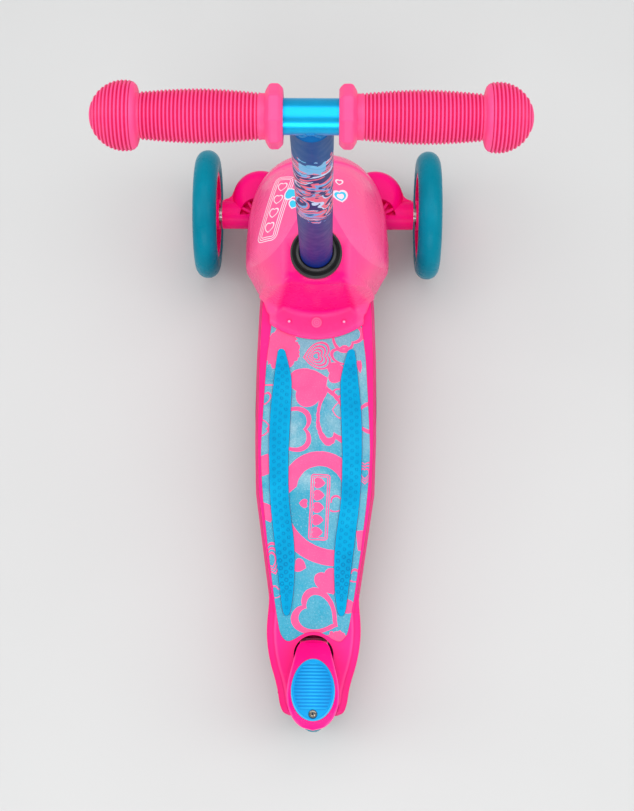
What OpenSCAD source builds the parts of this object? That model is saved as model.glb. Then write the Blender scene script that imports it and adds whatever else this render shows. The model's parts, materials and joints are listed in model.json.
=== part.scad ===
// Toddler kick scooter: two front wheels on a lean-to-steer axle, one rear wheel
// under a foot brake. Millimetres, +Z up, +Y forward, origin on the ground under
// the middle of the whole scooter.

/* [Overall] */
// Length over the tyres
overall_len = 538; // [534:1:542]
// Width over the bar ends
bar_width = 270.8; // [266:0.2:276]
// Height of the handlebar centre
bar_z = 578; // [560:1:600]
// Backward lean of the stem
rake = 7; // [6.8:0.1:7.2]

/* [Front wheels] */
// Front tyre diameter
front_d = 120; // [118:1:121]
// Tyre width, all wheels
tyre_w = 22; // [21:0.5:23]
// Centre of a front wheel from the middle
front_x = 103.4; // [102.8:0.2:104.4]

/* [Rear wheel] */
// Rear tyre diameter
rear_d = 80; // [79:0.5:81]

/* [Deck] */
// Top of the deck rim
deck_z = 71; // [70:0.5:72]
// Underside of the deck
deck_low = 46; // [44:0.5:48]
// Half width at its widest
deck_half = 55.5; // [55:0.1:56]
// Thickness of the printed mat
mat_t = 1.2; // [1:0.1:1.5]

/* [Steering] */
// Forward tilt of the kingpin from vertical
kp_tilt = 40; // [39:0.5:41]
// Kingpin radius
kp_r = 5; // [4.8:0.1:5]
// Kingpin bush wall clearance
kp_gap = 0.05; // [0.03:0.01:0.08]
// Steering spring wire radius
wire_r = 1.1; // [1:0.05:1.2]

/* [Stem and bar] */
// Stem outside radius
stem_r = 14; // [13.8:0.1:14]
// Stem wall
stem_wall = 1.6; // [1.4:0.1:1.8]
// Handlebar tube radius
bar_r = 11.2; // [11:0.1:11.2]

/* [Cover] */
// Wall thickness
cover_t = 2.6; // [2.4:0.1:2.8]
// Height of its crown
cover_top = 177; // [176:0.5:178]

/* [Brake] */
// Radius inside the fender, from the wheel centre
fender_r = 47; // [46.8:0.1:47.2]

/* [Hidden] */
$fn = 64;
eps = 0.02;
half_len = overall_len / 2;
axle_y = half_len - front_d / 2;
axle_z = front_d / 2;
rear_y = -half_len + rear_d / 2;
rear_z = rear_d / 2;
side_r = 1900;
deck_mid_y = 25;
taper_r = 3000;
taper_y = 320;
taper_half = 22.1;
rib_x = 38.1;
screw_x = 25.2;
screw_y = 99.3;
mat_z = deck_z - 1;
collar_y = 131;
collar_z = 185;
bar_s = (bar_z - collar_z) / cos(rake);
foot_s = -105;
pivot_y = -183;
pivot_z = 58;
top_y = -230;
top_z = 36;
pink = [1, 0.1, 0.5];
teal = [0, 0.52, 0.62];
blue = [0.1, 0.65, 0.95];
steel = [0.7, 0.7, 0.72];
dark = [0.08, 0.08, 0.09];

// ---------- curves ----------
function bend(a, b, c, d, t) = 0.5 * (2 * b + (c - a) * t
  + (2 * a - 5 * b + 4 * c - d) * t * t + (3 * b - a - 3 * c + d) * t * t * t);
function smooth(p, n) = [for (i = [0:len(p) - 2]) for (k = [0:n - 1])
  bend(p[max(i - 1, 0)], p[i], p[i + 1], p[min(i + 2, len(p) - 1)], k / n),
  p[len(p) - 1]];
function mirrored(p) = concat(p, [for (i = [len(p) - 2:-1:1]) [-p[i][0], p[i][1]]]);

// frame of the kingpin: its z runs up the pin, its y points forward and down
module at_kingpin() translate([0, axle_y, axle_z]) rotate([-kp_tilt, 0, 0]) children();
// frame of the stem: its z runs up the stem, zero at the collar
module at_stem() translate([0, collar_y, collar_z]) rotate([rake, 0, 0]) children();
// a cylinder along X centred on x
module xcyl(r, w, x, y, z) translate([x, y, z]) rotate([0, 90, 0])
  cylinder(r = r, h = w, center = true);
module xprism(half) rotate([90, 0, 90]) translate([0, 0, -half])
  linear_extrude(2 * half) children();

// ---------- deck ----------
// the deck's plan: a long arc, cut in towards the rear by a flatter one
module slab(grow, bevel, y0, y1, z0, z1) intersection() {
  for_side(side_r, deck_half, deck_mid_y, 1, grow, bevel, z0, z1);
  for_side(side_r, deck_half, deck_mid_y, -1, grow, bevel, z0, z1);
  for_side(taper_r, deck_half + taper_half, taper_y, 1, grow, bevel, z0, z1);
  for_side(taper_r, deck_half + taper_half, taper_y, -1, grow, bevel, z0, z1);
  translate([-70, y0, z0]) cube([140, y1 - y0, z1 - z0]);
}
// one side of the deck: a huge disc whose edge is the side's arc, sloped by the bevel
module for_side(r, half, y, s, grow, bevel, z0, z1) translate([s * (half - r), y, z0])
  cylinder(r1 = r + grow, r2 = r + grow - bevel, h = z1 - z0, $fn = 720);
hip = [[39.6, -150], [40, -160], [41, -172], [41.4, -182], [40.9, -192], [39.4, -203],
  [37, -213.5], [33.9, -223.5], [31.4, -234], [29.8, -244], [27, -251.4], [21, -254.6]];
hip_side = [[-186, deck_z], [-200, deck_z - 1], [-214, 67.2], [-228, 62.4], [-241, 56], [-251, 48],
  [-255, 39], [-250, 30.5], [-238, 25.4], [-222, 25.4], [-201, 34], [-184, deck_low]];
module hips() intersection() {
  linear_extrude(90) for (s = [0, 1]) mirror([s, 0])
    polygon(concat(smooth(hip, 3), [[0, -254.6], [0, -150]]));
  xprism(45) polygon(concat([[-150, deck_low], [-150, deck_z]], smooth(hip_side, 3)));
}
module lug(w) translate([0, 0, w]) {
  cylinder(r = 14, h = 6, center = true);
  translate([-14, -42, -3]) cube([28, 42, 6]);
}
module nose() {
  // spring wall with its two lugs for the kingpin
  at_kingpin() {
    lug(22);
    lug(-22);
    translate([-40, -46, -25]) cube([80, 6, 50]);
    for (s = [-1, 1]) translate([28 * s, -40.5, 0]) rotate([-90, 0, 0])
      cylinder(r = 4.5, h = 4.5);
  }
  // ribs that carry the wall and the stem socket
  for (x = [-rib_x, 0, rib_x]) translate([x, 0, 0]) xprism(2)
    polygon([[119, deck_z - 1], [168, deck_z - 1], [190, 101], [184, 103],
      [135, x == 0 ? 104 : deck_z + 1]]);
  at_stem() translate([0, 0, foot_s - 22]) cylinder(r = 19, h = 97);
}
// the part of the nose that is moulded with the deck, below the bolted frame
module nose_low() {
  translate([-60, 90, 20]) cube([120, 95, deck_z - 20]);
  at_kingpin() translate([-60, -46, -60]) cube([120, 86, 50]);
}
// stem socket, clamp bolt hole and its counterbore, kingpin hole, barrel clearance
module nose_bores() {
  at_stem() {
    translate([0, 0, foot_s]) cylinder(r = stem_r + 0.05, h = 120);
    translate([0, 0, foot_s - 50]) cylinder(r = 4.1, h = 60);
    translate([0, 0, foot_s - 60]) cylinder(r = 8, h = 37);
  }
  at_kingpin() cylinder(r = kp_r + 0.02, h = 60, center = true);
  at_kingpin() cylinder(r = 19, h = 38, center = true);
}
module nose_frame() color(pink) difference() {
  nose();
  nose_low();
  nose_bores();
}
module underside_pockets() difference() {
  intersection() {
    slab(-4, 0, -150, 160, deck_low - 1, mat_z - 3);
    translate([-60, -150, 0]) cube([120, 310, 80]);
  }
  for (x = [-18, 18]) translate([x - 1.25, -160, 0]) cube([2.5, 330, 80]);
  for (y = [-120:30:150]) translate([-60, y - 1.25, 0]) cube([120, 2.5, 80]);
  at_stem() translate([0, 0, foot_s - 60]) cylinder(r = 19, h = 80);
  for (s = [-1, 1]) translate([s * screw_x, screw_y, 0]) cylinder(r = 4, h = 80);
}
// half width of the rear wheel's well
well_half = 12.5;
module deck_shell() color(pink) difference() {
  union() {
    slab(-2, -2, -165, 168, deck_low, 60);
    slab(0, 3, -165, 168, 60, deck_z);
    hips();
    intersection() {
      nose();
      nose_low();
    }
  }
  underside_pockets();
  // shallow bed for the mat
  translate([0, 0, mat_z]) linear_extrude(5) polygon(mat_outline(0.3));
  nose_bores();
  // wheel well, arched opening for the fender and the pivot trough
  xcyl(45, 2 * well_half, 0, rear_y, rear_z);
  translate([0, -203.5, 58]) cylinder(r = 17.5, h = 30);
  translate([-17.5, -270, 58]) cube([35, 66.5, 30]);
  translate([-15.5, -201, 49]) cube([31, 24, 17.5]);
  // brake pin, axle bolt and their counterbores
  xcyl(2.02, 52, 0, pivot_y, pivot_z);
  xcyl(4.02, 90, 0, rear_y, rear_z);
  for (s = [-1, 1]) xcyl(8, 20, 36 * s, rear_y, rear_z);
  for (s = [-1, 1]) translate([s * screw_x, screw_y, 60]) cylinder(r = 1.35, h = 20);
}

// ---------- mat and strips ----------
mat_edge = [[41.2, 100], [43.6, 80], [45.7, 60], [47.8, 20], [49.2, -20], [47.4, -56],
  [43, -97], [38.8, -129], [34.9, -156], [31.8, -174], [29, -185.5], [23.6, -191.4],
  [17.6, -190], [12, -186.6], [6, -183.9], [0, -183.1]];
function mat_half(grow) = concat([[0, 100 + grow]], smooth([for (p = mat_edge)
  [p[0] == 0 ? 0 : p[0] + grow, p[1] + (p[1] < -180 ? -grow : p[1] > 90 ? grow : 0)]], 3));
function mat_outline(grow) = mirrored(mat_half(grow));
// centre line and half width of a strip, from its front tip to its rear tip
strip_c = [[32.1, 74.6], [32.1, 74], [32, 72.2], [31.7, 68], [31.2, 60], [30.5, 43], [32.3, 12],
  [33.2, -23], [31.8, -65], [27.6, -99], [25.6, -122], [24.4, -145], [24.2, -160],
  [24.2, -165.2], [24.2, -168.2], [24.2, -169.2]];
strip_w = [[0.8, 74.6], [2, 74], [3.3, 72.2], [4.2, 68], [5.8, 60], [8.2, 43], [9.2, 12],
  [8.8, -23], [8.4, -65], [8.7, -99], [8.0, -122], [6.2, -145], [4.4, -160],
  [3.4, -165.2], [2.1, -168.2], [0.8, -169.2]];
function strip_outline(grow) =
  let (c = smooth(strip_c, 3), w = smooth(strip_w, 3), n = len(c))
  concat([for (i = [0:n - 1]) [c[i][0] + w[i][0] + grow, c[i][1]]],
    [for (i = [n - 1:-1:0]) [c[i][0] - w[i][0] - grow, c[i][1]]]);
module both_strips(grow) {
  polygon(strip_outline(grow));
  mirror([1, 0]) polygon(strip_outline(grow));
}
module grip_mat() color([0.35, 0.75, 0.85]) translate([0, 0, mat_z + 0.05]) difference() {
  linear_extrude(mat_t) polygon(mat_outline(0));
  translate([0, 0, -1]) linear_extrude(5) both_strips(0.3);
  // cut back under the cover's lip
  translate([0, 160, -1]) cylinder(r = 68, h = 5);
}
module strip() color(blue) translate([0, 0, mat_z + 0.05])
  linear_extrude(2.6) polygon(strip_outline(0));
module strip_right() strip();
module strip_left() mirror([1, 0, 0]) strip();

// ---------- front cover ----------
cover_base = 62;
cover_rear = 104;
crown_y = 150;
function crown(y) = y > crown_y
  ? sqrt(max(0, 1 - pow((y - crown_y) / (half_len - 9 - crown_y), 2)))
  : 1 - 0.123 * (crown_y - y) / (cover_top - cover_base);
function cover_hw(y) = y > 158
  ? 66.6 * pow(max(0, 1 - pow((y - 158) / (half_len - 9 - 158), 3)), 1 / 2.3)
  : 66.6 - 15 * pow((158 - y) / 54, 1.5);
rows_front = 12;
rows_rear = 5;
cols = 24;
seat_r = 27;
function cover_y(i, t) = i < rows_rear
  ? cover_rear + t + (crown_y - cover_rear - t) * i / rows_rear
  : crown_y + (half_len - 9 - crown_y - t) * sin(88 * (i - rows_rear) / rows_front);
// the wall is thicker in a ring under the collar
function seat(x, y) = 7 * max(0, min(1, (seat_r + 6 - norm([x, y - collar_y])) / 6));
// t moves the whole surface inwards
function cover_point(i, k, t) =
  let (y = cover_y(i, t), a = 180 * k / cols, hw = cover_hw(y) - t,
    x = -hw * sign(cos(a)) * pow(abs(cos(a)), 0.77),
    h = (cover_top - cover_base) * crown(y) - t - (t > 0 ? seat(x, y) : 0),
    w = y < crown_y ? (crown_y - y) / (crown_y - cover_rear) : 0)
  [x, y + 0.0072 * w * x * x, cover_base + max(1, h) * sin(a)];
module cover_shell() {
  n = rows_front + rows_rear;
  m = cols + 1;
  q = (n + 1) * m;
  foot = 2 * q;
  // corner numbers along the foot of the rear wall, of the outer or inner skin
  function f(k, inner) = k == 0 || k == cols ? inner * q + k : foot + inner * m + k;
  polyhedron(
    points = concat(
      [for (t = [0, cover_t]) for (i = [0:n]) for (k = [0:cols]) cover_point(i, k, t)],
      [for (t = [0, cover_t]) for (k = [0:cols]) let (p = cover_point(0, k, t))
        [p[0], p[1], cover_base]]),
    faces = concat(
      [for (i = [0:n - 1]) for (k = [0:cols - 1]) for (h = [0, 1])
        let (a = i * m + k, b = a + m)
        h == 0 ? [a, b, a + 1] : [a + 1, b, b + 1]],
      [for (i = [0:n - 1]) for (k = [0:cols - 1]) for (h = [0, 1])
        let (a = q + i * m + k, b = a + m)
        h == 0 ? [a, a + 1, b] : [a + 1, b + 1, b]],
      // front end, outside and inside
      [[for (k = [cols:-1:0]) n * m + k], [for (k = [0:cols]) q + n * m + k]],
      // upright rear wall, outside and inside
      [[0, 1, f(1, 0)], [f(cols - 1, 0), cols - 1, cols]],
      [for (k = [1:cols - 2]) [f(k, 0), k, k + 1, f(k + 1, 0)]],
      [[f(1, 1), q + 1, q], [q + cols, q + cols - 1, f(cols - 1, 1)]],
      [for (k = [1:cols - 2]) [f(k + 1, 1), q + k + 1, q + k, f(k, 1)]],
      // bottom rim
      [for (i = [0:n - 1]) [i * m, q + i * m, q + (i + 1) * m, (i + 1) * m]],
      [for (i = [0:n - 1]) let (c = i * m + cols) [c, c + m, q + c + m, q + c]],
      [for (k = [0:cols - 1]) [f(k, 0), f(k + 1, 0), f(k + 1, 1), f(k, 1)]],
      [[n * m, q + n * m, q + n * m + cols, n * m + cols]]));
}
module front_cover() color(pink) difference() {
  union() {
    cover_shell();
    // rear lip that lies on the deck
    intersection() {
      translate([0, 155.5, deck_z + 0.3]) cylinder(r = 72, h = 5);
      translate([-43.5, 80, deck_z + 0.3]) cube([87, 36, 5]);
    }
  }
  translate([-54, 70, 40]) cube([108, 100, deck_z + 0.3 - 40]);
  at_stem() {
    translate([0, 0, -13.5]) cylinder(r = 22.6, h = 30);
    translate([0, 0, -40]) cylinder(r = 19.6, h = 60);
  }
  // openings the axle arms swing in
  for (s = [-1, 1]) {
    translate([s > 0 ? 33 : -93, 176, 20]) cube([60, 100, 62]);
    translate([s > 0 ? 33 : -93, 186, 20]) cube([60, 100, 72]);
    translate([63 * s, 186, 82]) rotate([0, 90, 0]) cylinder(r = 10, h = 60, center = true);
  }
  for (s = [-1, 1]) translate([s * screw_x, screw_y, 60]) cylinder(r = 1.4, h = 30);
}
module cover_screws() color(pink) for (s = [-1, 1]) translate([s * screw_x, screw_y, 0]) {
  translate([0, 0, 62]) cylinder(r = 1.3, h = deck_z + 5.4 - 62);
  translate([0, 0, deck_z + 5.35]) cylinder(r1 = 2.6, r2 = 1.9, h = 1.1);
}
module cover_disc() color(pink) translate([0, 98.5, deck_z + 5.35]) cylinder(r = 4.7, h = 0.9);

// ---------- stem ----------
module stem_collar() color(dark) at_stem() rotate_extrude()
  polygon([[stem_r + 0.3, -13], [19.2, -13], [19.2, -13.3], [22.4, -13.3], [22.4, -8.2],
    [20.8, -6.6], [18.3, -8.6], [17.2, -4.2], [15.4, -3.2], [stem_r + 0.3, -4.2]]);
module stem_tube() color([0.1, 0.3, 0.62]) at_stem() difference() {
  union() {
    translate([0, 0, foot_s + 0.1]) cylinder(r = stem_r, h = bar_s - foot_s - 8.1);
    // welded saddle that closes in on the bar
    translate([0, 0, bar_s - 8]) cylinder(r1 = stem_r, r2 = bar_r + 0.3, h = 6.5);
  }
  translate([0, 0, foot_s - 1]) cylinder(r = stem_r - stem_wall, h = bar_s - foot_s - 9);
  translate([0, 0, bar_s]) rotate([0, 90, 0]) cylinder(r = bar_r + eps, h = 60, center = true);
}
module stem_plug() color(steel) at_stem() translate([0, 0, foot_s + 0.1]) difference() {
  cylinder(r = stem_r - stem_wall - 0.05, h = 26);
  translate([0, 0, -1]) cylinder(r = 4.03, h = 40);
}
module stem_bolt() color(steel) at_stem() {
  translate([0, 0, foot_s - 24]) cylinder(r = 4, h = 52);
  difference() {
    translate([0, 0, foot_s - 31]) cylinder(r = 6.8, h = 7.5);
    translate([0, 0, foot_s - 32]) cylinder(r = 3.4, h = 5, $fn = 6);
  }
}
module handlebar() color([0, 0.6, 0.9]) at_stem() translate([0, 0, bar_s])
  rotate([0, 90, 0]) difference() {
    cylinder(r = bar_r, h = bar_width - 26, center = true);
    cylinder(r = bar_r - 1.6, h = bar_width, center = true);
  }

// ---------- grips ----------
grip_in = 17;
rib_from = 32.5;
rib_to = 104;
ribs = 30;
rib_p = (rib_to - rib_from) / ribs;
ball_r = 21.6;
ball_x = bar_width / 2 - ball_r;
ball_in = 105.5;
function barrel_r(x) = 14.5 + 2.1 * sin(180 * (x - rib_from) / (rib_to - rib_from));
function ball_rr(x) = sqrt(max(0, pow(ball_r, 2) - pow(x - ball_x, 2)));
grip_profile = concat(
  [[0.01 + bar_r + 0.3, grip_in], [14, grip_in], [14, rib_from - 0.6]],
  [for (i = [0:ribs - 1]) for (q = [[0.12, 0.9], [0.3, 0], [0.7, 0], [0.88, 0.9]])
    [barrel_r(rib_from + (i + 0.5) * rib_p) - q[1] * 1.1, rib_from + (i + q[0]) * rib_p]],
  [[13.7, rib_to + 0.4], [13.7, ball_in], [17.5, ball_in], [ball_rr(ball_in + 1.6), ball_in + 1.6]],
  [for (i = [1:9]) for (q = [-0.28, -0.2, 0.2, 0.28])
    let (x = ball_in + 2.2 + i * 2.45 + q * 2.45) [ball_rr(x) - (abs(q) > 0.25 ? 0 : 1.0), x]],
  [[ball_rr(bar_width / 2 - 2), bar_width / 2 - 2], [ball_rr(bar_width / 2 - 0.6), bar_width / 2 - 0.6],
    [0, bar_width / 2], [0, bar_width / 2 - 12.4], [bar_r + 0.3, bar_width / 2 - 12.4]]);
module grip_body() color(pink) at_stem() translate([0, 0, bar_s]) rotate([0, 90, 0]) union() {
  rotate_extrude() polygon(grip_profile);
  difference() {
    intersection() {
      translate([0, 0, grip_in]) rotate([0, 0, 22.5]) cylinder(r = 20.2, h = 11.2, $fn = 8);
      translate([0, 0, grip_in]) union() {
        cylinder(r1 = 16.6, r2 = 20.4, h = 2.6);
        translate([0, 0, 2.6]) cylinder(r = 20.4, h = 4.8);
        translate([0, 0, 7.4]) cylinder(r1 = 20.4, r2 = 14.6, h = 3.8);
      }
    }
    translate([0, 0, grip_in - 1]) cylinder(r = bar_r + 1.5, h = 20);
  }
}
module grip_right() grip_body();
module grip_left() mirror([1, 0, 0]) grip_body();

// ---------- steering ----------
module kingpin() color(steel) at_kingpin() {
  translate([0, 0, -31.5]) cylinder(r = kp_r, h = 57);
  translate([0, 0, 25.05]) rotate([0, 0, 30]) cylinder(r = 9, h = 6, $fn = 6);
}
module kingpin_nut() color(steel) at_kingpin() translate([0, 0, -31.05]) difference() {
  rotate([0, 0, 30]) cylinder(r = 9, h = 6, $fn = 6);
  translate([0, 0, -1]) cylinder(r = kp_r + 0.02, h = 8);
}
module bush() rotate_extrude() polygon([[kp_r + kp_gap, 1], [6.95, 1], [6.95, 17.05],
  [10.5, 17.05], [10.5, 18.8], [kp_r + kp_gap, 18.8]]);
module bush_upper() color(dark) at_kingpin() bush();
module bush_lower() color(dark) at_kingpin() mirror([0, 0, 1]) bush();
spring_from = -16.3;
spring_to = -39.8;
turns = 5.5;
coil_r = 6.6;
// the first and last three quarters of a turn lie flat
function coil(i, n) = let (a = 360 * turns * i / n,
    flat = min(1, max(0, (turns * i / n - 0.75) / (turns - 1.5))))
  [coil_r * cos(a), coil_r * sin(a), wire_r + flat * (spring_from - spring_to - 2 * wire_r)];
module spring(u) {
  n = 110;
  k = 8;
  at_kingpin() translate([u, spring_from, 0]) rotate([90, 0, 0]) polyhedron(
    points = [for (i = [0:n]) for (j = [0:k - 1])
      let (c = coil(i, n), a = 360 * turns * i / n, b = 360 * j / k)
      [c[0] + wire_r * cos(b) * cos(a), c[1] + wire_r * cos(b) * sin(a),
        c[2] + wire_r * sin(b)]],
    faces = concat([[for (j = [0:k - 1]) j]], [[for (j = [k - 1:-1:0]) n * k + j]],
      [for (i = [0:n - 1]) for (j = [0:k - 1]) [i * k + j, (i + 1) * k + j, i * k + (j + 1) % k]],
      [for (i = [0:n - 1]) for (j = [0:k - 1])
        [i * k + (j + 1) % k, (i + 1) * k + j, (i + 1) * k + (j + 1) % k]]));
}
module spring_left() color(steel) spring(-28);
module spring_right() color(steel) spring(28);

tube_end = 89.6;
horn_x = 54;
horn_y = 224;
horn_r = 26;
pocket_x = 56.7;
pocket_y = 203;
pocket_r = 16.4;
// shoulder that arches forward from the tube
module horn() intersection() {
  union() {
    translate([horn_x, horn_y, 0]) rotate_extrude() polygon(concat([[0, 56], [horn_r - 3, 56],
      [horn_r, 59], [horn_r, 66]], [for (a = [10:10:80])
      [horn_r - 11 + 11 * cos(a), 66 + 11 * sin(a)]], [[horn_r - 11, 77], [0, 77]]));
    translate([0, 0, 53]) linear_extrude(14) polygon([[70, 212], [88, 212], [88, 221.6],
      [84, 222.8], [81, 225.4], [79.6, 229.5], [70, 236]]);
  }
  translate([38.6, axle_y - 8, 50]) cube([60, 60, 40]);
}
// pocket behind the arch, with two ribs left standing in it
module pocket() difference() {
  translate([pocket_x, pocket_y, 66.5]) cylinder(r = pocket_r, h = 20);
  translate([0, 100, 60]) cube([100, 104.5, 40]);
  for (a = [30, 58, 88]) translate([pocket_x, pocket_y, 60]) rotate([0, 0, a])
    translate([0, -1.1, 0]) cube([pocket_r + 2, 2.2, 13]);
}
module truck() color(pink) difference() {
  union() {
    xcyl(13.5, 2 * tube_end, 0, axle_y, axle_z);
    at_kingpin() cylinder(r = 15.5, h = 34, center = true);
    at_kingpin() for (s = [-1, 1]) translate([28 * s, -16, 0]) rotate([-90, 0, 0])
      cylinder(r = 9.5, h = 16);
    at_kingpin() for (s = [-1, 1]) translate([28 * s, -20, 0]) rotate([-90, 0, 0])
      cylinder(r = 4.5, h = 10);
    horn();
    mirror([1, 0, 0]) horn();
  }
  pocket();
  mirror([1, 0, 0]) pocket();
  at_kingpin() cylinder(r = 7, h = 60, center = true);
  for (s = [-1, 1]) xcyl(4.02, 40, 80 * s, axle_y, axle_z);
}
module front_bolts() color(steel) for (s = [-1, 1]) {
  xcyl(4, 50, (front_x - 16.8) * s, axle_y, axle_z);
  difference() {
    xcyl(6.5, 4.2, (front_x + 10.3) * s, axle_y, axle_z);
    translate([(front_x + 11.6) * s, axle_y, axle_z]) rotate([0, 90, 0])
      cylinder(r = 2.9, h = 4, center = true, $fn = 6);
  }
}
module sleeve(r_in, r_out, w, x, y, z) difference() {
  xcyl(r_out, w, x, y, z);
  xcyl(r_in, w + 2, x, y, z);
}
// from the tube's end to the inner bearing
sleeve_from = tube_end + 0.2;
sleeve_to = front_x - 8.2;
module front_spacers() color(steel) for (s = [-1, 1])
  sleeve(4.05, 6.5, sleeve_to - sleeve_from, (sleeve_from + sleeve_to) / 2 * s, axle_y, axle_z);

// ---------- wheels ----------
module tyre(r, r_in) color(teal) rotate([0, 90, 0]) rotate_extrude($fn = 96) intersection() {
  union() {
    translate([r - tyre_w / 2, 0]) circle(r = tyre_w / 2);
    translate([r_in, 4.5 - tyre_w / 2]) square([r - tyre_w / 2 - r_in, tyre_w - 9]);
    translate([r_in, 1 - tyre_w / 2]) square([r - tyre_w / 2 - r_in + 0.01, tyre_w - 2]);
  }
  translate([r_in, -20]) square([60, 40]);
}
module hub(r, arms, boss_w) color(pink) rotate([0, 90, 0]) difference() {
  union() {
    difference() {
      cylinder(r = r - eps, h = tyre_w - 2.6, center = true);
      cylinder(r = r - 4, h = 40, center = true);
    }
    cylinder(r = r - 3, h = 3.4, center = true);
    cylinder(r = 14, h = boss_w, center = true);
    for (i = [0:arms - 1]) rotate([0, 0, 360 * i / arms])
      translate([12, -2, -7]) cube([r - 15, 4, 14]);
  }
  cylinder(r = 7, h = 40, center = true);
  for (s = [-1, 1]) translate([0, 0, s * 4.5]) cylinder(r = 11.02, h = 7.05, center = true);
  for (s = [-1, 1]) translate([0, 0, s * 10]) cylinder(r = 11.02, h = 6, center = true);
}
module bearing(x) color(steel) translate([x, 0, 0]) rotate([0, 90, 0]) rotate_extrude()
  polygon([[4.05, -3.5], [6, -3.5], [6.2, -3.1], [9.4, -3.1], [9.6, -3.5], [11, -3.5], [11, 3.5],
    [9.6, 3.5], [9.4, 3.1], [6.2, 3.1], [6, 3.5], [4.05, 3.5]]);
module bearings() {
  bearing(-4.5);
  bearing(4.5);
}
module at_front(s) translate([s * front_x, axle_y, axle_z]) children();
module at_rear() translate([0, rear_y, rear_z]) children();
module tyre_left() at_front(-1) tyre(front_d / 2, 40);
module hub_left() at_front(-1) hub(40, 6, 22);
module bearings_left() at_front(-1) bearings();
module tyre_right() at_front(1) tyre(front_d / 2, 40);
module hub_right() at_front(1) hub(40, 6, 22);
module bearings_right() at_front(1) bearings();
module tyre_rear() at_rear() tyre(rear_d / 2, 26);
module hub_rear() at_rear() hub(26, 5, 16);
module bearings_rear() at_rear() bearings();
module rear_bolt() color(steel) at_rear() {
  xcyl(4, 57, -2.4, 0, 0);
  xcyl(6.5, 4.2, 28.2, 0, 0);
}
module rear_nut() color(steel) at_rear() difference() {
  translate([-29, 0, 0]) rotate([0, 90, 0]) cylinder(r = 7.3, h = 5.8, center = true, $fn = 6);
  xcyl(4.03, 20, -29, 0, 0);
}
// from the bearings to the walls of the well
module rear_spacers() color(steel) at_rear() for (s = [-1, 1])
  sleeve(4.05, 6.5, well_half - 8.3, (well_half + 8.1) / 2 * s, 0, 0);

// ---------- brake ----------
fender_half = [[0, -190.6], [8, -191.8], [13, -195.8], [15.7, -203.5], [18.6, -215],
  [21.4, -227], [22.6, -238], [21.6, -248.5], [17.6, -258.5], [10, -265.8], [0, -268.4]];
module fender_plan() polygon(mirrored(smooth(fender_half, 4)));
// egg-shaped pad: half width, half length, middle, and how much it narrows forward
pad_w = 18.9;
pad_l = 26.4;
pad_y = -234.6;
pad_egg = 0.07;
function pad_point(t, d) = [(pad_w + d) * cos(t) * (1 - pad_egg * sin(t)), pad_y + (pad_l + d) * sin(t)];
module pad_plan(d) polygon([for (t = [0:7.5:352.5]) pad_point(t, d)]);
function pad_half(y) = let (q = (y - pad_y) / pad_l) pad_w * sqrt(1 - q * q) * (1 - pad_egg * q);
pad_top = 59.3;
pad_ribs = 13;
pad_rib_from = -14.75;
pad_rib_step = 2.88;
module brake_fender() color(pink) difference() {
  union() {
    intersection() {
      difference() {
        xcyl(58, 50, 0, top_y, top_z);
        xcyl(fender_r, 60, 0, rear_y, rear_z);
        translate([-40, -300, -40]) cube([80, 200, 103]);
      }
      translate([0, 0, 50]) linear_extrude(50) fender_plan();
      union() {
        translate([-40, -300, 60]) cube([80, 104, 50]);
        xprism(40) polygon([[-196.5, 60], [-196.5, 90], [-193, 79], [-187, 66.5], [-184, 60]]);
      }
    }
    // arm down to the pivot barrel
    intersection() {
      xprism(12) polygon([[-206, 76], [-196, 82], [-190, 73], [-187.6, 66], [-181, 65],
        [-179, 58], [-186, 55]]);
      difference() {
        xcyl(60, 50, 0, rear_y, rear_z);
        xcyl(fender_r - 2, 60, 0, rear_y, rear_z);
      }
      union() {
        translate([-20, -215, 50]) cube([40, 40, 16.2]);
        translate([-7, -215, 50]) cube([14, 40, 19]);
        translate([0, 0, 50]) linear_extrude(50) fender_plan();
      }
    }
    xcyl(4.8, 29.6, 0, pivot_y, pivot_z);
  }
  xcyl(2.06, 60, 0, pivot_y, pivot_z);
  xcyl(7.5, 10, 0, pivot_y, pivot_z);
  // bed for the pad, and its screw hole
  intersection() {
    difference() {
      xcyl(70, 60, 0, top_y, top_z);
      xcyl(56.5, 60, 0, top_y, top_z);
    }
    translate([0, 0, 60]) linear_extrude(50) pad_plan(0.3);
  }
  at_pad_screw() cylinder(r = 1.65, h = 70);
}
module at_pad_screw() translate([0, top_y, top_z]) rotate([25.3, 0, 0]) children();
module brake_pad() color(blue) difference() {
  intersection() {
    union() {
      difference() {
        xcyl(pad_top, 50, 0, top_y, top_z);
        xcyl(56.55, 60, 0, top_y, top_z);
      }
      for (i = [0:pad_ribs - 1]) let (a = pad_rib_from + i * pad_rib_step)
        translate([0, top_y, top_z]) rotate([a, 0, 0]) translate([0, 0, pad_top - 0.1])
          rotate([0, 90, 0]) cylinder(r = 0.7, center = true, $fn = 24,
            h = 2 * pad_half(top_y - pad_top * sin(a)) - 5);
    }
    translate([0, 0, 60]) linear_extrude(50) pad_plan(0);
  }
  at_pad_screw() cylinder(r = 1.7, h = 80);
}
module brake_screw() color(steel) at_pad_screw() {
  translate([0, 0, 50.5]) cylinder(r = 1.6, h = 9);
  translate([0, 0, 59.35]) cylinder(r1 = 3.2, r2 = 2.2, h = 1.3);
}
module brake_shoe() color(steel) intersection() {
  difference() {
    xcyl(fender_r - 0.05, 16, 0, rear_y, rear_z);
    xcyl(fender_r - 2.8, 30, 0, rear_y, rear_z);
  }
  xprism(20) polygon([[rear_y, rear_z], [rear_y + 14, 100], [rear_y - 24, 100]]);
}
module brake_pin() color(steel) xcyl(2, 50, 0, pivot_y, pivot_z);
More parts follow.
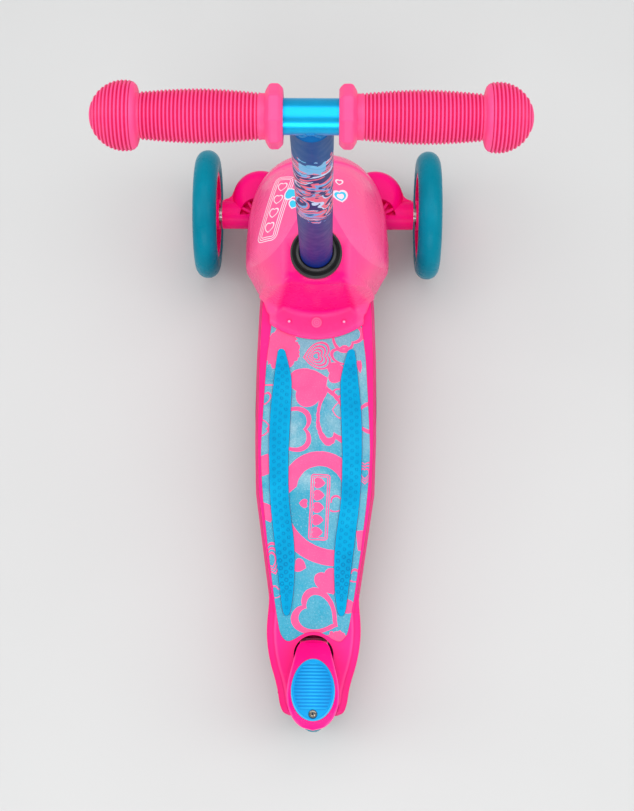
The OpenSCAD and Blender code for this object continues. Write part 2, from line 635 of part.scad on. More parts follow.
module brake_spring() color(steel) translate([0, pivot_y, pivot_z]) {
  for (i = [0:6]) translate([-3.45 + i * 1.15, 0, 0]) rotate([0, 90, 0]) rotate_extrude()
    translate([3.2, 0]) circle(r = 0.62, $fn = 24);
  translate([3.45, 0, 3.2]) rotate([65, 0, 0]) cylinder(r = 0.6, h = 3.6);
  translate([-3.45, 0, -3.2]) rotate([-80, 0, 0]) cylinder(r = 0.6, h = 5);
}

deck_shell();
nose_frame();
grip_mat();
strip_left();
strip_right();
front_cover();
cover_screws();
cover_disc();
stem_collar();
stem_tube();
stem_plug();
stem_bolt();
handlebar();
grip_left();
grip_right();
kingpin();
kingpin_nut();
spring_left();
spring_right();
truck();
bush_upper();
bush_lower();
front_bolts();
front_spacers();
tyre_left();
hub_left();
bearings_left();
tyre_right();
hub_right();
bearings_right();
rear_bolt();
rear_nut();
rear_spacers();
tyre_rear();
hub_rear();
bearings_rear();
brake_fender();
brake_pad();
brake_screw();
brake_shoe();
brake_pin();
brake_spring();
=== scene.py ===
import bpy, bmesh, json
from math import sin, cos, pi, radians, sqrt, atan2, copysign
from mathutils import Vector, Matrix


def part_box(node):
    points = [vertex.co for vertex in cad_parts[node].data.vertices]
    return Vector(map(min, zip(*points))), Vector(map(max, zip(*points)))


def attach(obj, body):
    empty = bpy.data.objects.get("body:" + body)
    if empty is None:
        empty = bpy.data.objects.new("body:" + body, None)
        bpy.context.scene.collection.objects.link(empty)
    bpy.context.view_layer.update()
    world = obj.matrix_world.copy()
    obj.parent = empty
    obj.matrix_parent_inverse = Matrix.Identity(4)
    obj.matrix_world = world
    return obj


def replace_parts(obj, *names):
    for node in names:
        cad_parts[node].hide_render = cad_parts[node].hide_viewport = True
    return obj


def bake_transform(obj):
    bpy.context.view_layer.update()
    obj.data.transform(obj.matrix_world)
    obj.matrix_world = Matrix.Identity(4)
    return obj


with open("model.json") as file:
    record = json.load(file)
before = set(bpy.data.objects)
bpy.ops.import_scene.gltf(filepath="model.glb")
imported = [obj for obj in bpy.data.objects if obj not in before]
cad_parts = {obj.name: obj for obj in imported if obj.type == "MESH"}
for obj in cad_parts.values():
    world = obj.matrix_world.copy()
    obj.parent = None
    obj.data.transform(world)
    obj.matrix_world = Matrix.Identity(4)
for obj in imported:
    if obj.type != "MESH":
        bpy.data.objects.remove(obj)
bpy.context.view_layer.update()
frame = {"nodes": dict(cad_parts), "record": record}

MM = 0.001
coll = bpy.context.scene.collection
bpy.context.scene.view_settings.view_transform = "Standard"

# ---- places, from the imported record
RECORD = frame["record"]
JOINTS = {j["name"]: j for j in RECORD["behaviour"]["joints"]}
CLAMP = next(m for m in RECORD["mounts"] if m["name"] == "stem_clamp_zone")
STEM_AXIS = Vector(CLAMP["axis"]).normalized()
COLLAR = Vector(CLAMP["pos_m"]) - 0.2 * STEM_AXIS
BAR_LO, BAR_HI = (Vector(v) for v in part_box("handlebar"))
BAR_MID = (BAR_LO + BAR_HI) / 2
BAR_S = (BAR_MID - COLLAR).dot(STEM_AXIS) / MM
GRIP_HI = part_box("grip_right")[1][0] / MM
LEFT_HUB = Vector(JOINTS["front_left_spin"]["pos_m"]) / MM
RIGHT_HUB = Vector(JOINTS["front_right_spin"]["pos_m"]) / MM
REAR_HUB = Vector(JOINTS["rear_spin"]["pos_m"]) / MM
STRIP_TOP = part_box("strip_left")[1][2] / MM
COVER_LO, COVER_HI = (Vector(v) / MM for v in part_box("front_cover"))
PAD_LO, PAD_HI = (Vector(v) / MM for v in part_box("brake_pad"))
PAD_MID_Y = (PAD_LO.y + PAD_HI.y) / 2
PAD_HALF_X, PAD_HALF_Y = (PAD_HI.x - PAD_LO.x) / 2, (PAD_HI.y - PAD_LO.y) / 2
# the pad's crown is an arc about an X axis at PAD_AXIS, between the radii PAD_IN and PAD_OUT
PAD_AXIS_Y, PAD_AXIS_Z, PAD_IN, PAD_OUT = -230.0, 36.0, 56.6, 59.3
PAD_RIBS, PAD_RIB_Y, PAD_RIB_P = 13, PAD_MID_Y + 19.6, 2.93
PAD_SCREW_TURN = radians(25.3)
PAD_SCREW_Y = PAD_AXIS_Y - PAD_OUT * sin(PAD_SCREW_TURN)
# grips along X: ribbed barrel, then a ball with its own ribs
RIBS, RIB_FROM, RIB_TO = 30, 32.5, 104.0
RIB_P = (RIB_TO - RIB_FROM) / RIBS
BALL_R = 21.6
BALL_X = GRIP_HI - BALL_R
BALL_FROM, BALL_P, BALL_N = 109.0, 2.42, 10
BALL_TO = BALL_FROM + BALL_P * BALL_N
BAND = (172.0, 331.0)  # the printed band on the stem, mm above the collar


# ---- mesh helpers

def new_mesh(name, verts, faces, smooth=True):
    """A mesh object from points in mm."""
    me = bpy.data.meshes.new(name)
    me.from_pydata([(v[0] * MM, v[1] * MM, v[2] * MM) for v in verts], [], faces)
    me.validate()
    me.update()
    for p in me.polygons:
        p.use_smooth = smooth
    ob = bpy.data.objects.new(name, me)
    coll.objects.link(ob)
    return ob


def quads(rows, cols, base=0, wrap_rows=True, wrap_cols=True):
    """Faces of a grid of points, row after row."""
    faces = []
    for i in range(rows if wrap_rows else rows - 1):
        k = (i + 1) % rows
        for j in range(cols if wrap_cols else cols - 1):
            q = (j + 1) % cols
            faces.append((base + i * cols + j, base + k * cols + j, base + k * cols + q, base + i * cols + q))
    return faces


def fix_normals(ob, merge=1e-6, triangulate=False):
    bm = bmesh.new()
    bm.from_mesh(ob.data)
    if merge:
        bmesh.ops.remove_doubles(bm, verts=bm.verts, dist=merge)
    if triangulate:
        bmesh.ops.triangulate(bm, faces=bm.faces)
    bmesh.ops.recalc_face_normals(bm, faces=bm.faces)
    bm.to_mesh(ob.data)
    bm.free()


def join_meshes(ob, others):
    """The other objects' meshes are added to ob's, and those objects go."""
    bm = bmesh.new()
    bm.from_mesh(ob.data)
    for o in others:
        bm.from_mesh(o.data)
        bpy.data.objects.remove(o)
    bm.to_mesh(ob.data)
    bm.free()


def shade_smooth(ob):
    for p in ob.data.polygons:
        p.use_smooth = True


def sharp(ob, deg=38):
    """Smooth shading with edges over that angle kept sharp."""
    me = ob.data
    bm = bmesh.new()
    bm.from_mesh(me)
    for e in bm.edges:
        e.smooth = not (len(e.link_faces) == 2 and e.calc_face_angle(0) > radians(deg))
    bm.to_mesh(me)
    bm.free()


def lathe(name, profile, frame_m, seg, first=0.0):
    """A closed profile of (r, x) in mm turned about the frame's Z, from the angle first."""
    verts = []
    for j in range(seg):
        a = first + 2 * pi * j / seg
        verts += [(r * cos(a), r * sin(a), x) for r, x in profile]
    ob = new_mesh(name, verts, quads(seg, len(profile)))
    fix_normals(ob)
    ob.data.transform(frame_m)
    return ob


def frame_at(origin, z_axis, x_axis=(1, 0, 0)):
    """The transform to a frame at origin, in metres."""
    z = Vector(z_axis).normalized()
    x = Vector(x_axis)
    x = (x - x.dot(z) * z).normalized()
    y = z.cross(x)
    m = Matrix((x, y, z)).transposed().to_4x4()
    m.translation = Vector(origin)
    return m


def bevel(ob, width, angle=35, seg=2):
    m = ob.modifiers.new("edge", "BEVEL")
    m.width = width * MM
    m.segments = seg
    m.limit_method = "ANGLE"
    m.angle_limit = radians(angle)
    m.use_clamp_overlap = True
    w = ob.modifiers.new("normals", "WEIGHTED_NORMAL")
    w.keep_sharp = False
    w.weight = 60


def clean_cad(node, width, material):
    """A CAD node that stays: flat triangles joined, edges rounded by width."""
    ob = frame["nodes"][node]
    shade_smooth(ob)
    if width:
        d = ob.modifiers.new("flats", "DECIMATE")
        d.decimate_type = "DISSOLVE"
        d.angle_limit = radians(1.2)
        bevel(ob, width)
    ob.data.materials.clear()
    ob.data.materials.append(material)


def apply_mods(ob):
    dg = bpy.context.evaluated_depsgraph_get()
    me = bpy.data.meshes.new_from_object(ob.evaluated_get(dg))
    ob.modifiers.clear()
    ob.data = me


def cut(ob, cutter):
    """Takes the cutter out of ob and removes it."""
    m = ob.modifiers.new("cut", "BOOLEAN")
    m.operation = "DIFFERENCE"
    m.solver = "EXACT"
    m.object = cutter
    apply_mods(ob)
    bpy.data.objects.remove(cutter)


def apply_voxel(ob, size):
    r = ob.modifiers.new("voxel", "REMESH")
    r.mode = "VOXEL"
    r.voxel_size = size * MM
    r.adaptivity = 0.0
    apply_mods(ob)


def smoothstep(a, b, v):
    t = min(1.0, max(0.0, (v - a) / (b - a)))
    return t * t * (3 - 2 * t)


def finish_piece(ob, body, material, stands_for=()):
    ob.data.materials.clear()
    ob.data.materials.append(material)
    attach(ob, body)
    if stands_for:
        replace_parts(ob, *stands_for)


# ---- materials
class Nodes:
    """A material under construction: t is its node tree, b its Principled shader, co the object coordinates."""

    def __init__(self, name):
        self.mat = bpy.data.materials.new(name)
        self.mat.use_nodes = True
        self.t = self.mat.node_tree
        self.b = self.t.nodes["Principled BSDF"]
        self.co = self.t.nodes.new("ShaderNodeTexCoord").outputs["Object"]

    def feed(self, sock, v):
        """Links the socket to v, or sets it to v."""
        if isinstance(v, bpy.types.NodeSocket):
            self.t.links.new(v, sock)
        else:
            sock.default_value = (*v, 1) if sock.type == "RGBA" else v

    def node(self, kind, values, **props):
        n = self.t.nodes.new(kind)
        for k, v in props.items():
            setattr(n, k, v)
        for k, v in values.items():
            self.feed(n.inputs[k], v)
        return n

    def noise(self, scale, detail=3.0, rough=0.5, vec=None, distortion=0.0, out="Fac"):
        values = {"Scale": scale, "Detail": detail, "Roughness": rough, "Distortion": distortion, "Vector": vec or self.co}
        return self.node("ShaderNodeTexNoise", values).outputs[out]

    def math(self, op, *values):
        return self.node("ShaderNodeMath", dict(enumerate(values)), operation=op).outputs[0]

    def vector_math(self, op, values):
        return self.node("ShaderNodeVectorMath", values, operation=op).outputs

    def mul(self, a, b):
        return self.math("MULTIPLY", a, b)

    def add(self, a, b):
        return self.math("ADD", a, b)

    def sub(self, a, b):
        return self.math("SUBTRACT", a, b)

    def fma(self, a, b, c):
        """a * b + c"""
        return self.math("MULTIPLY_ADD", a, b, c)

    def abs(self, a):
        return self.math("ABSOLUTE", a)

    def above(self, a, b):
        return self.math("GREATER_THAN", a, b)

    def below(self, a, b):
        return self.math("LESS_THAN", a, b)

    def near(self, a, b, half):
        return self.math("COMPARE", a, b, half)

    def larger(self, a, b):
        return self.math("MAXIMUM", a, b)

    def smaller(self, a, b):
        return self.math("MINIMUM", a, b)

    def top(self, *masks):
        out = masks[0]
        for m in masks[1:]:
            out = self.larger(out, m)
        return out

    def split(self, vec):
        return self.node("ShaderNodeSeparateXYZ", {0: vec}).outputs

    def mm(self, vec=None):
        """x, y and z in millimetres."""
        return [self.mul(v, 1 / MM) for v in self.split(vec or self.co)]

    def join(self, x, y, z):
        return self.node("ShaderNodeCombineXYZ", {"X": x, "Y": y, "Z": z}).outputs[0]

    def ramp(self, fac, stops, interp="LINEAR"):
        n = self.node("ShaderNodeValToRGB", {"Fac": fac})
        n.color_ramp.interpolation = interp
        while len(n.color_ramp.elements) < len(stops):
            n.color_ramp.elements.new(0.5)
        for e, (p, c) in zip(n.color_ramp.elements, stops):
            e.position = p
            e.color = (*c, 1)
        return n.outputs["Color"]

    def greys(self, fac, *stops):
        return self.ramp(fac, [(p, (v,) * 3) for p, v in stops])

    def span(self, fac, lo, hi, a, b):
        """fac from lo to hi becomes a to b, and no further."""
        values = {"Value": fac, "From Min": lo, "From Max": hi, "To Min": a, "To Max": b}
        return self.node("ShaderNodeMapRange", values).outputs["Result"]

    def mix(self, fac, a, b):
        return self.node("ShaderNodeMix", {"Factor": fac, "A": a, "B": b}, data_type="RGBA").outputs["Result"]

    def table(self, v, rows):
        """Piecewise line through (v, value) rows, with values below top."""
        rows, top = sorted(rows), 60.0
        lo, hi = rows[0][0], rows[-1][0]
        stops = [((a - lo) / (hi - lo), b / top) for a, b in rows]
        return self.mul(self.greys(self.span(v, lo, hi, 0.0, 1.0), *stops), top)

    def place(self, loc, rot=0.0, scale=1.0, vec=None):
        """Object coordinates seen from a spot: mm, degrees, mm per unit."""
        sx, sy = scale if isinstance(scale, tuple) else (scale, scale)
        values = {"Location": (loc[0] * MM, loc[1] * MM, 0), "Rotation": (0, 0, radians(rot)),
                  "Scale": (sx * MM, sy * MM, MM), "Vector": vec or self.co}
        return self.node("ShaderNodeMapping", values, vector_type="TEXTURE").outputs["Vector"]

    def bump(self, height, strength, dist):
        values = {"Strength": strength, "Distance": dist, "Height": height}
        normal = self.b.inputs["Normal"]
        if normal.is_linked:
            values["Normal"] = normal.links[0].from_socket
        self.feed(normal, self.node("ShaderNodeBump", values).outputs["Normal"])

    def set(self, **kw):
        for k, v in kw.items():
            self.feed(self.b.inputs[k.replace("_", " ")], v)

    def crest(self, v, start, pitch, half):
        """Cosine wave of 0 to 1: a crest at start if half is 0.5, a groove if it is -0.5."""
        turn = self.fma(v, 2 * pi / pitch, -2 * pi * start / pitch)
        return self.fma(self.math("COSINE", turn), half, 0.5)

    def rough(self, scale, detail, lo, hi):
        """Roughness that varies between lo and hi in patches."""
        self.set(Roughness=self.span(self.noise(scale, detail), 0.3, 0.7, lo, hi))

    # print shapes, each a mask of 0 or 1
    def heart(self, cx, cy, rot, sx, sy=None, rings=(1.0,), vec=None):
        """A heart whose point aims along -y turned by rot; further rings cut it into outlines."""
        x, y, _ = self.split(self.place((cx, cy), rot, (sx, sy or sx), vec))
        x2, y2 = self.mul(x, x), self.mul(y, y)
        side = self.mul(x2, self.mul(y2, y))
        r2 = self.add(x2, y2)
        out = None
        for i, k in enumerate(rings):
            c = self.fma(r2, 1 / k ** 2, -1.0)
            f = self.fma(side, -1 / k ** 5, self.mul(c, self.mul(c, c)))
            inside = self.below(f, 0.0)
            out = inside if out is None else self.math("SUBTRACT" if i % 2 else "ADD", out, inside)
        return out

    def distance(self, cx, cy, vec=None, stretch=1.0):
        """Distance in mm from a spot seen from above."""
        x, y, _ = self.split(self.place((cx, cy), 0, (1, stretch), vec))
        return self.vector_math("LENGTH", {0: self.join(x, y, 0.0)})["Value"]

    def ring(self, cx, cy, r, w, vec):
        return self.near(self.distance(cx, cy, vec), r, w / 2)

    def bar(self, cx, cy, rot, half_x, half_y, vec):
        x, y, _ = self.split(self.place((cx, cy), rot, 1.0, vec))
        return self.mul(self.near(x, 0.0, half_x), self.near(y, 0.0, half_y))

    def pill(self, cx, cy, rot, half_x, half_y, corner, lines, vec):
        """Rounded frame lines: each line is (offset from the edge, half thickness)."""
        x, y, _ = self.split(self.place((cx, cy), rot, 1.0, vec))
        qx = self.sub(self.abs(x), half_x - corner)
        qy = self.sub(self.abs(y), half_y - corner)
        px, py = self.larger(qx, 0.0), self.larger(qy, 0.0)
        d = self.math("SQRT", self.add(self.mul(px, px), self.mul(py, py)))
        inner = self.smaller(self.larger(qx, qy), 0.0)
        sd = self.sub(self.add(d, inner), corner)
        return self.top(*[self.near(sd, at, half) for at, half in lines])

    def wobble(self, scale, amount):
        """Coordinates pushed about by noise, by up to amount mm."""
        n = self.noise(scale, 2, out="Color")
        push = self.vector_math("SUBTRACT", {0: n, 1: (0.5, 0.5, 0.5)})[0]
        push = self.vector_math("SCALE", {0: push, "Scale": amount * MM * 2})[0]
        return self.vector_math("ADD", {0: self.co, 1: push})[0]


def plastic_surface(m, rough, spec, coat=0.0):
    """Orange peel, faint flow marks and handling scuffs of an injection moulding."""
    m.rough(55, 4, *rough)
    m.set(Specular_IOR_Level=spec)
    if coat:
        m.set(Coat_Weight=coat, Coat_Roughness=0.1)
    m.bump(m.noise(900, 2), 0.2, 0.00002)
    scratch = m.noise(420, 2, 0.7, distortion=1.5)
    m.bump(m.span(scratch, 0.6, 0.7, 0.0, 1.0), 0.06, 0.00003)


PINK_BASE, PINK_DEEP, PINK_LIGHT = (0.98, 0.002, 0.21), (0.96, 0.001, 0.185), (1.0, 0.008, 0.24)


def pink_colour(m):
    col = m.ramp(m.noise(14, 3), [(0.3, PINK_DEEP), (0.5, PINK_BASE), (0.72, PINK_LIGHT)])
    scuff = m.span(m.noise(160, 4, 0.6), 0.62, 0.75, 0.0, 0.08)
    return m.mix(scuff, col, (1.0, 0.10, 0.36))


def pink_shell(name, spec=0.2, coat=0.04):
    m = Nodes(name)
    m.set(Base_Color=pink_colour(m))
    plastic_surface(m, (0.24, 0.36), spec, coat)
    return m.mat


def pink_light():
    """Shell plastic of the small lip fittings, paler towards the disc's middle, with a painted highlight on each
    screw head and a ring pressed round the middle.
    """
    m = Nodes("lip_fittings")
    r = m.distance(0.0, 98.5)
    press = m.top(m.near(r, 3.1, 0.35), m.near(r, 1.2, 0.3))
    screw = m.smaller(m.distance(-25.2, 99.3), m.distance(25.2, 99.3))
    # paler towards the disc's middle, and a painted highlight spot on each screw head
    pale_disc_and_screw_highlight = m.add(m.span(r, 8.0, 12.0, 0.22, 0.05), m.span(screw, 0.7, 1.4, 0.7, 0.0))
    col = m.mix(m.mul(press, 0.5), m.mix(pale_disc_and_screw_highlight, pink_colour(m), (1.0, 0.6, 0.8)), (1.0, 0.01, 0.22))
    m.set(Base_Color=col)
    plastic_surface(m, (0.2, 0.3), 0.3)
    return m.mat


def metal(name, base, dark, rough=(0.2, 0.34), stretch=(0.15, 8, 8), coat=0.0, metallic=1.0):
    m = Nodes(name)
    mp = m.node("ShaderNodeMapping", {"Vector": m.co, "Scale": stretch})
    streak = m.noise(300, 4, 0.6, vec=mp.outputs["Vector"])
    m.set(Base_Color=m.ramp(m.noise(40, 4), [(0.35, dark), (0.65, base)]), Metallic=metallic,
          Roughness=m.span(streak, 0.3, 0.7, *rough))
    if coat:
        m.set(Coat_Weight=coat, Coat_Roughness=0.08)
    m.bump(streak, 0.08, 0.00002)
    return m.mat


def rubber(name, dark, base, light, rough=(0.55, 0.7), spec=0.3, grain=1400):
    m = Nodes(name)
    col = m.ramp(m.noise(30, 4), [(0.3, dark), (0.5, base), (0.75, light)])
    dust = m.span(m.noise(260, 4, 0.7), 0.6, 0.8, 0.0, 0.10)
    m.set(Base_Color=m.mix(dust, col, light))
    m.rough(120, 3, *rough)
    m.set(Specular_IOR_Level=spec)
    m.bump(m.noise(grain, 3), 0.35, 0.00004)
    return m.mat


def grip_rubber():
    """Soft rubber with painted shade in the grooves and a painted highlight on the ribs' crests, the flange and the
    grip's ends.
    """
    m = Nodes("grip_rubber")
    ax = m.abs(m.mm()[0])
    crest = m.crest(ax, RIB_FROM, RIB_P, -0.5)
    ball_crest = m.crest(ax, BALL_FROM, BALL_P, -0.5)
    on_barrel = m.mul(m.above(ax, RIB_FROM), m.below(ax, RIB_TO))
    on_ball = m.mul(m.above(ax, BALL_FROM), m.below(ax, BALL_TO))
    rest = m.sub(1.0, m.add(on_barrel, on_ball))
    # lit is 1 on the crests, 0 in the grooves and 0.85 off the ribs: it mixes painted shade into the grooves and a
    # painted highlight onto the crests and the flange
    lit = m.add(m.add(m.mul(on_barrel, crest), m.mul(on_ball, ball_crest)), m.mul(rest, 0.85))
    cloud = m.noise(45, 4)
    lo = m.mix(cloud, (0.58, 0.0, 0.07), (0.70, 0.001, 0.10))
    hi = m.mix(cloud, (0.95, 0.06, 0.25), (0.98, 0.10, 0.30))
    m.set(Base_Color=m.mix(m.math("POWER", lit, 1.3), lo, hi))
    m.rough(150, 3, 0.42, 0.56)
    m.set(Specular_IOR_Level=0.3)
    m.bump(m.noise(1500, 3), 0.3, 0.00003)
    return m.mat


def pad_rubber():
    """Rubber with a painted highlight on the rib crests, down the middle and along the rim, and painted shade in
    the grooves and in the recess round the screw.
    """
    m = Nodes("pad_rubber")
    x, y, _ = m.mm()
    # crest is 1 on the rib crests, which get a painted highlight, and 0 in the grooves, which get painted shade
    crest = m.crest(y, PAD_RIB_Y, PAD_RIB_P, 0.5)
    kx, ky = m.mul(x, 1 / PAD_HALF_X), m.mul(m.sub(y, PAD_MID_Y), 1 / PAD_HALF_Y)
    k = m.math("SQRT", m.add(m.math("POWER", kx, 2.0), m.math("POWER", ky, 2.0)))
    low = m.sub(y, PAD_RIB_Y - PAD_RIB_P * (PAD_RIBS - 0.5))
    field = m.mul(m.span(k, 0.84, 0.90, 1.0, 0.0), m.span(low, -1.0, 1.0, 0.0, 1.0))
    cloud = m.noise(40, 4)
    flat = m.mix(cloud, (0.0, 0.27, 0.62), (0.001, 0.31, 0.69))
    # middle: a painted highlight down the pad's middle, on ribs and grooves alike
    middle = m.span(m.abs(x), 2.0, 15.0, 1.0, 0.0)
    groove = m.mix(middle, (0.0, 0.17, 0.49), (0.0, 0.23, 0.60))
    ridge = m.mix(middle, (0.0, 0.26, 0.64), (0.015, 0.40, 0.80))
    col = m.mix(field, flat, m.mix(crest, groove, ridge))
    # a painted highlight along the pad's rim
    edge = m.span(k, 0.955, 0.975, 0.0, 0.55)
    col = m.mix(edge, col, (0.10, 0.50, 0.82))
    # painted shade in the recess round the screw
    seat = m.distance(0.0, PAD_SCREW_Y)
    col = m.mix(m.span(seat, 3.5, 4.3, 0.9, 0.0), col, (0.0, 0.02, 0.06))
    m.set(Base_Color=col)
    m.rough(120, 3, 0.34, 0.46)
    m.set(Specular_IOR_Level=0.12)
    m.bump(m.noise(1400, 3), 0.3, 0.00003)
    return m.mat


def tyre_pu():
    """Cast polyurethane: slightly clear, scuffed on the tread."""
    m = Nodes("tyre_polyurethane")
    col = m.ramp(m.noise(24, 3), [(0.3, (0.0, 0.17, 0.25)), (0.55, (0.0, 0.205, 0.30)), (0.75, (0.0, 0.24, 0.34))])
    wear = m.span(m.noise(900, 4, 0.7), 0.6, 0.8, 0.0, 0.16)
    m.set(Base_Color=m.mix(wear, col, (0.01, 0.30, 0.40)))
    m.rough(90, 4, 0.22, 0.36)
    m.set(Specular_IOR_Level=0.07)
    m.set(Subsurface_Weight=0.1, Subsurface_Radius=(0.0004, 0.003, 0.004), Subsurface_Scale=1.0)
    m.bump(m.noise(700, 3), 0.25, 0.00003)
    return m.mat


PRINT_HEARTS = [
    # x, y, turn, half width, half height, rings
    (-3.2, 41.6, 114, 16.2, 15.6, (1.0,)),
    (-1.2, 68.0, -84, 11.6, 11.4, (1.0, 0.87, 0.76, 0.63, 0.53, 0.41, 0.32, 0.2)),
    (25.0, 90.5, 222, 13.5, 13.5, (1.0, 0.8)),
    (20.6, 53.0, 96, 8.6, 8.0, (1.0,)),
    (23.6, 67.0, 20, 8.4, 8.4, (1.0, 0.74)),
    (14.0, 16.0, 190, 13.6, 25.0, (1.0, 0.76)),
    (20.5, 34.5, 140, 4.2, 4.2, (1.0, 0.6)),
    (20.6, 17.5, -92, 7.4, 6.2, (1.0, 0.84)),
    (-27.0, -0.6, -90, 18.4, 18.6, (1.0, 0.82)),
    (-11.0, -68.7, -90, 3.6, 3.4, (1.0,)),
    (20.4, -70.5, 60, 7.0, 7.0, (1.0, 0.8)),
    (-11.9, -125.2, 70, 5.4, 5.0, (1.0,)),
    (13.2, -141.0, 24, 9.8, 10.4, (1.0,)),
    (5.6, -169.4, 60, 18.4, 18.4, (1.0, 0.74)),
    (-47.5, 0.5, 92, 7.6, 7.6, (1.0, 0.8)),
    (-38.5, -121.0, 20, 9.4, 13.0, (1.0, 0.86, 0.74, 0.62, 0.5, 0.38)),
    (-34.5, -150.0, -30, 5.2, 5.2, (1.0, 0.8)),
    (44.5, 10.5, -90, 13.4, 12.0, (1.0, 0.72)),
    (44.6, -42.0, 0, 7.6, 9.4, (1.0, 0.88, 0.74, 0.62, 0.5, 0.38)),
    (36.0, -135.0, 40, 5.6, 5.6, (1.0, 0.74)),
    (32.2, -161.5, 75, 5.6, 6.2, (1.0,)),
    (39.8, 57.5, 6, 2.0, 5.6, (1.0,)),
    (-46.5, 27.0, 0, 5.0, 5.6, (1.0, 0.76)),
]
LABEL_HEARTS = [(4.9 - 0.045 * i * 11.2, -50.0 - 11.2 * i) for i in range(5)]


def printed_mat():
    """Watercolour ground under a pink heart print, with the fine tooth of a foam sheet."""
    m = Nodes("mat_print")
    soft = m.wobble(260, 0.35)
    rough = m.wobble(190, 1.5)
    jag = m.wobble(330, 4.0)
    wash = m.noise(26, 5, 0.62, distortion=0.6)
    ground = m.ramp(wash, [(0.32, (0.02, 0.30, 0.47)), (0.44, (0.05, 0.35, 0.50)), (0.54, (0.15, 0.42, 0.53)),
                           (0.70, (0.36, 0.55, 0.62))])
    ground = m.mix(m.span(m.noise(9, 2), 0.47, 0.54, 0.0, 0.6), ground, (0.26, 0.47, 0.56))
    ground = m.mix(m.span(m.split(m.co)[1], -0.03, -0.10, 0.0, 0.65), ground, (0.035, 0.36, 0.53))
    ground = m.mix(m.span(m.noise(1100, 2, 0.7), 0.38, 0.62, 0.0, 0.45), ground, (0.02, 0.23, 0.36))
    speck = m.span(m.noise(620, 3, 0.7), 0.55, 0.72, 0.0, 0.4)
    ground = m.mix(speck, ground, (0.46, 0.64, 0.70))
    pattern = m.below(m.distance(-32.0, 74.0, jag, 1.2), 16.0)
    pattern = m.top(pattern, m.below(m.distance(20.0, -188.5, jag, 0.7), 8.5))
    for i, h in enumerate(PRINT_HEARTS):
        pattern = m.top(pattern, m.heart(*h[:5], rings=h[5], vec=rough if i == 5 else soft))
    x, y, _ = m.mm()
    slant = m.above(m.fma(x, -0.9, y), -38.5)
    ahead = m.mul(m.above(y, -60.0), m.top(slant, m.above(x, 0.0)))
    pattern = m.top(pattern, m.mul(m.ring(4.0, -55.0, 27.3, 13.6, soft), ahead))
    behind = m.mul(m.below(y, -84.0), m.below(x, 32.0))
    pattern = m.top(pattern, m.mul(m.ring(20.0, -65.0, 53.0, 14.4, soft), behind))
    for cx, cy, turn, hx, hy in ((-45.5, -34.0, 20, 6.0, 9.0), (-43.0, -77.0, -25, 7.0, 7.0),
                                 (-44.0, 40.5, 0, 6.0, 0.7), (41.0, -102.0, 6, 3.2, 9.0)):
        pattern = m.top(pattern, m.bar(cx, cy, turn, hx, hy, soft))
    clear = m.sub(1.0, m.bar(4.0, -72.0, -2.2, 9.8, 31.0, soft))
    pattern = m.mul(pattern, clear)
    pattern = m.top(pattern, m.pill(4.0, -72.0, -2.2, 8.3, 29.6, 2.6, [(0.0, 0.55), (-1.9, 0.45)], soft))
    for cx, cy in LABEL_HEARTS:
        pattern = m.top(pattern, m.heart(cx, cy, 88, 4.3, 4.5, vec=soft))
    ink = m.mix(m.noise(70, 4), (0.93, 0.07, 0.25), (0.98, 0.12, 0.31))
    ink = m.mix(m.span(m.noise(800, 2, 0.7), 0.56, 0.72, 0.0, 0.16), ink, (0.9, 0.45, 0.62))
    m.set(Base_Color=m.mix(pattern, ground, ink))
    m.rough(200, 3, 0.62, 0.78)
    m.set(Specular_IOR_Level=0.18)
    m.bump(m.noise(1300, 3, 0.6), 0.5, 0.00006)
    return m.mat


def cover_plastic():
    """The shell's plastic with a clear printed film on its shoulders: hatching, an outline label and hearts; all
    but the recessed rear panel gets a painted sheen.
    """
    m = Nodes("cover_shell")
    col = pink_colour(m)
    x, y, z = m.mm()
    ax = m.abs(x)
    off = m.sub(ax, 45.0)
    low = m.add(136.0, m.mul(m.mul(off, off), 0.036))
    brim_x = m.mul(ax, 1 / 61.0)
    brim_y = m.mul(m.larger(m.sub(y, 190.0), 0.0), 1 / 41.0)
    brim = m.add(m.math("POWER", brim_x, 3.0), m.math("POWER", brim_y, 3.0))
    film = m.mul(m.mul(m.above(y, low), m.below(brim, 1.0)), m.above(z, 96.0))
    lines = m.math("SINE", m.mul(m.add(x, m.mul(y, 0.8)), 2 * pi / 1.1))
    # painted sheen: all of the shell but the recessed panel behind the stem is mixed 10% towards pale pink, the
    # lip's top 6%
    inner = m.fma(m.sub(150.0, z), 0.10, 27.0)
    painted_sheen = m.top(m.span(m.sub(ax, inner), -2.0, 4.0, 0.0, 0.10), m.span(y, 138.0, 150.0, 0.0, 0.10),
                  m.span(z, 80.0, 76.6, 0.0, 0.06))
    pale = (1.0, 0.62, 0.80)
    col = m.mix(painted_sheen, col, pale)
    col = m.mix(m.mul(film, m.span(lines, -1.0, 1.0, 0.03, 0.14)), col, pale)
    flat = m.wobble(200, 0.1)
    pill = m.pill(-36.0, 181.5, -15, 9.0, 32.5, 5.0, [(0.0, 0.32), (-1.7, 0.32), (-3.4, 0.32)], flat)
    row = [m.heart(-41.9 + 3.6 * i, 161.0 + 13.2 * i, -15, 3.8, 4.4, rings=(1.0, 0.78), vec=flat)
           for i in range(4)]
    right = [m.heart(19.6, 204.0, 0, 3.2, rings=(1.0, 0.6), vec=flat), m.heart(21.0, 187.5, 14, 6.2, vec=flat)]
    left = [m.heart(-23.4, 192.5, -160, 5.9, vec=flat), m.heart(-20.4, 178.6, -20, 4.6, vec=flat)]
    white = m.top(pill, *row, *right, *left)
    blue = m.top(m.heart(21.0, 187.5, 14, 4.6, rings=(1.0, 0.6), vec=flat),
                 m.heart(-23.4, 192.5, -160, 4.8, vec=flat), m.heart(-20.4, 178.6, -20, 3.6, vec=flat))
    col = m.mix(m.mul(m.mul(white, film), 0.85), col, (0.97, 0.80, 0.88))
    col = m.mix(m.mul(blue, film), col, (0.05, 0.56, 0.80))
    m.set(Base_Color=col)
    plastic_surface(m, (0.22, 0.32), 0.14, 0.03)
    return m.mat


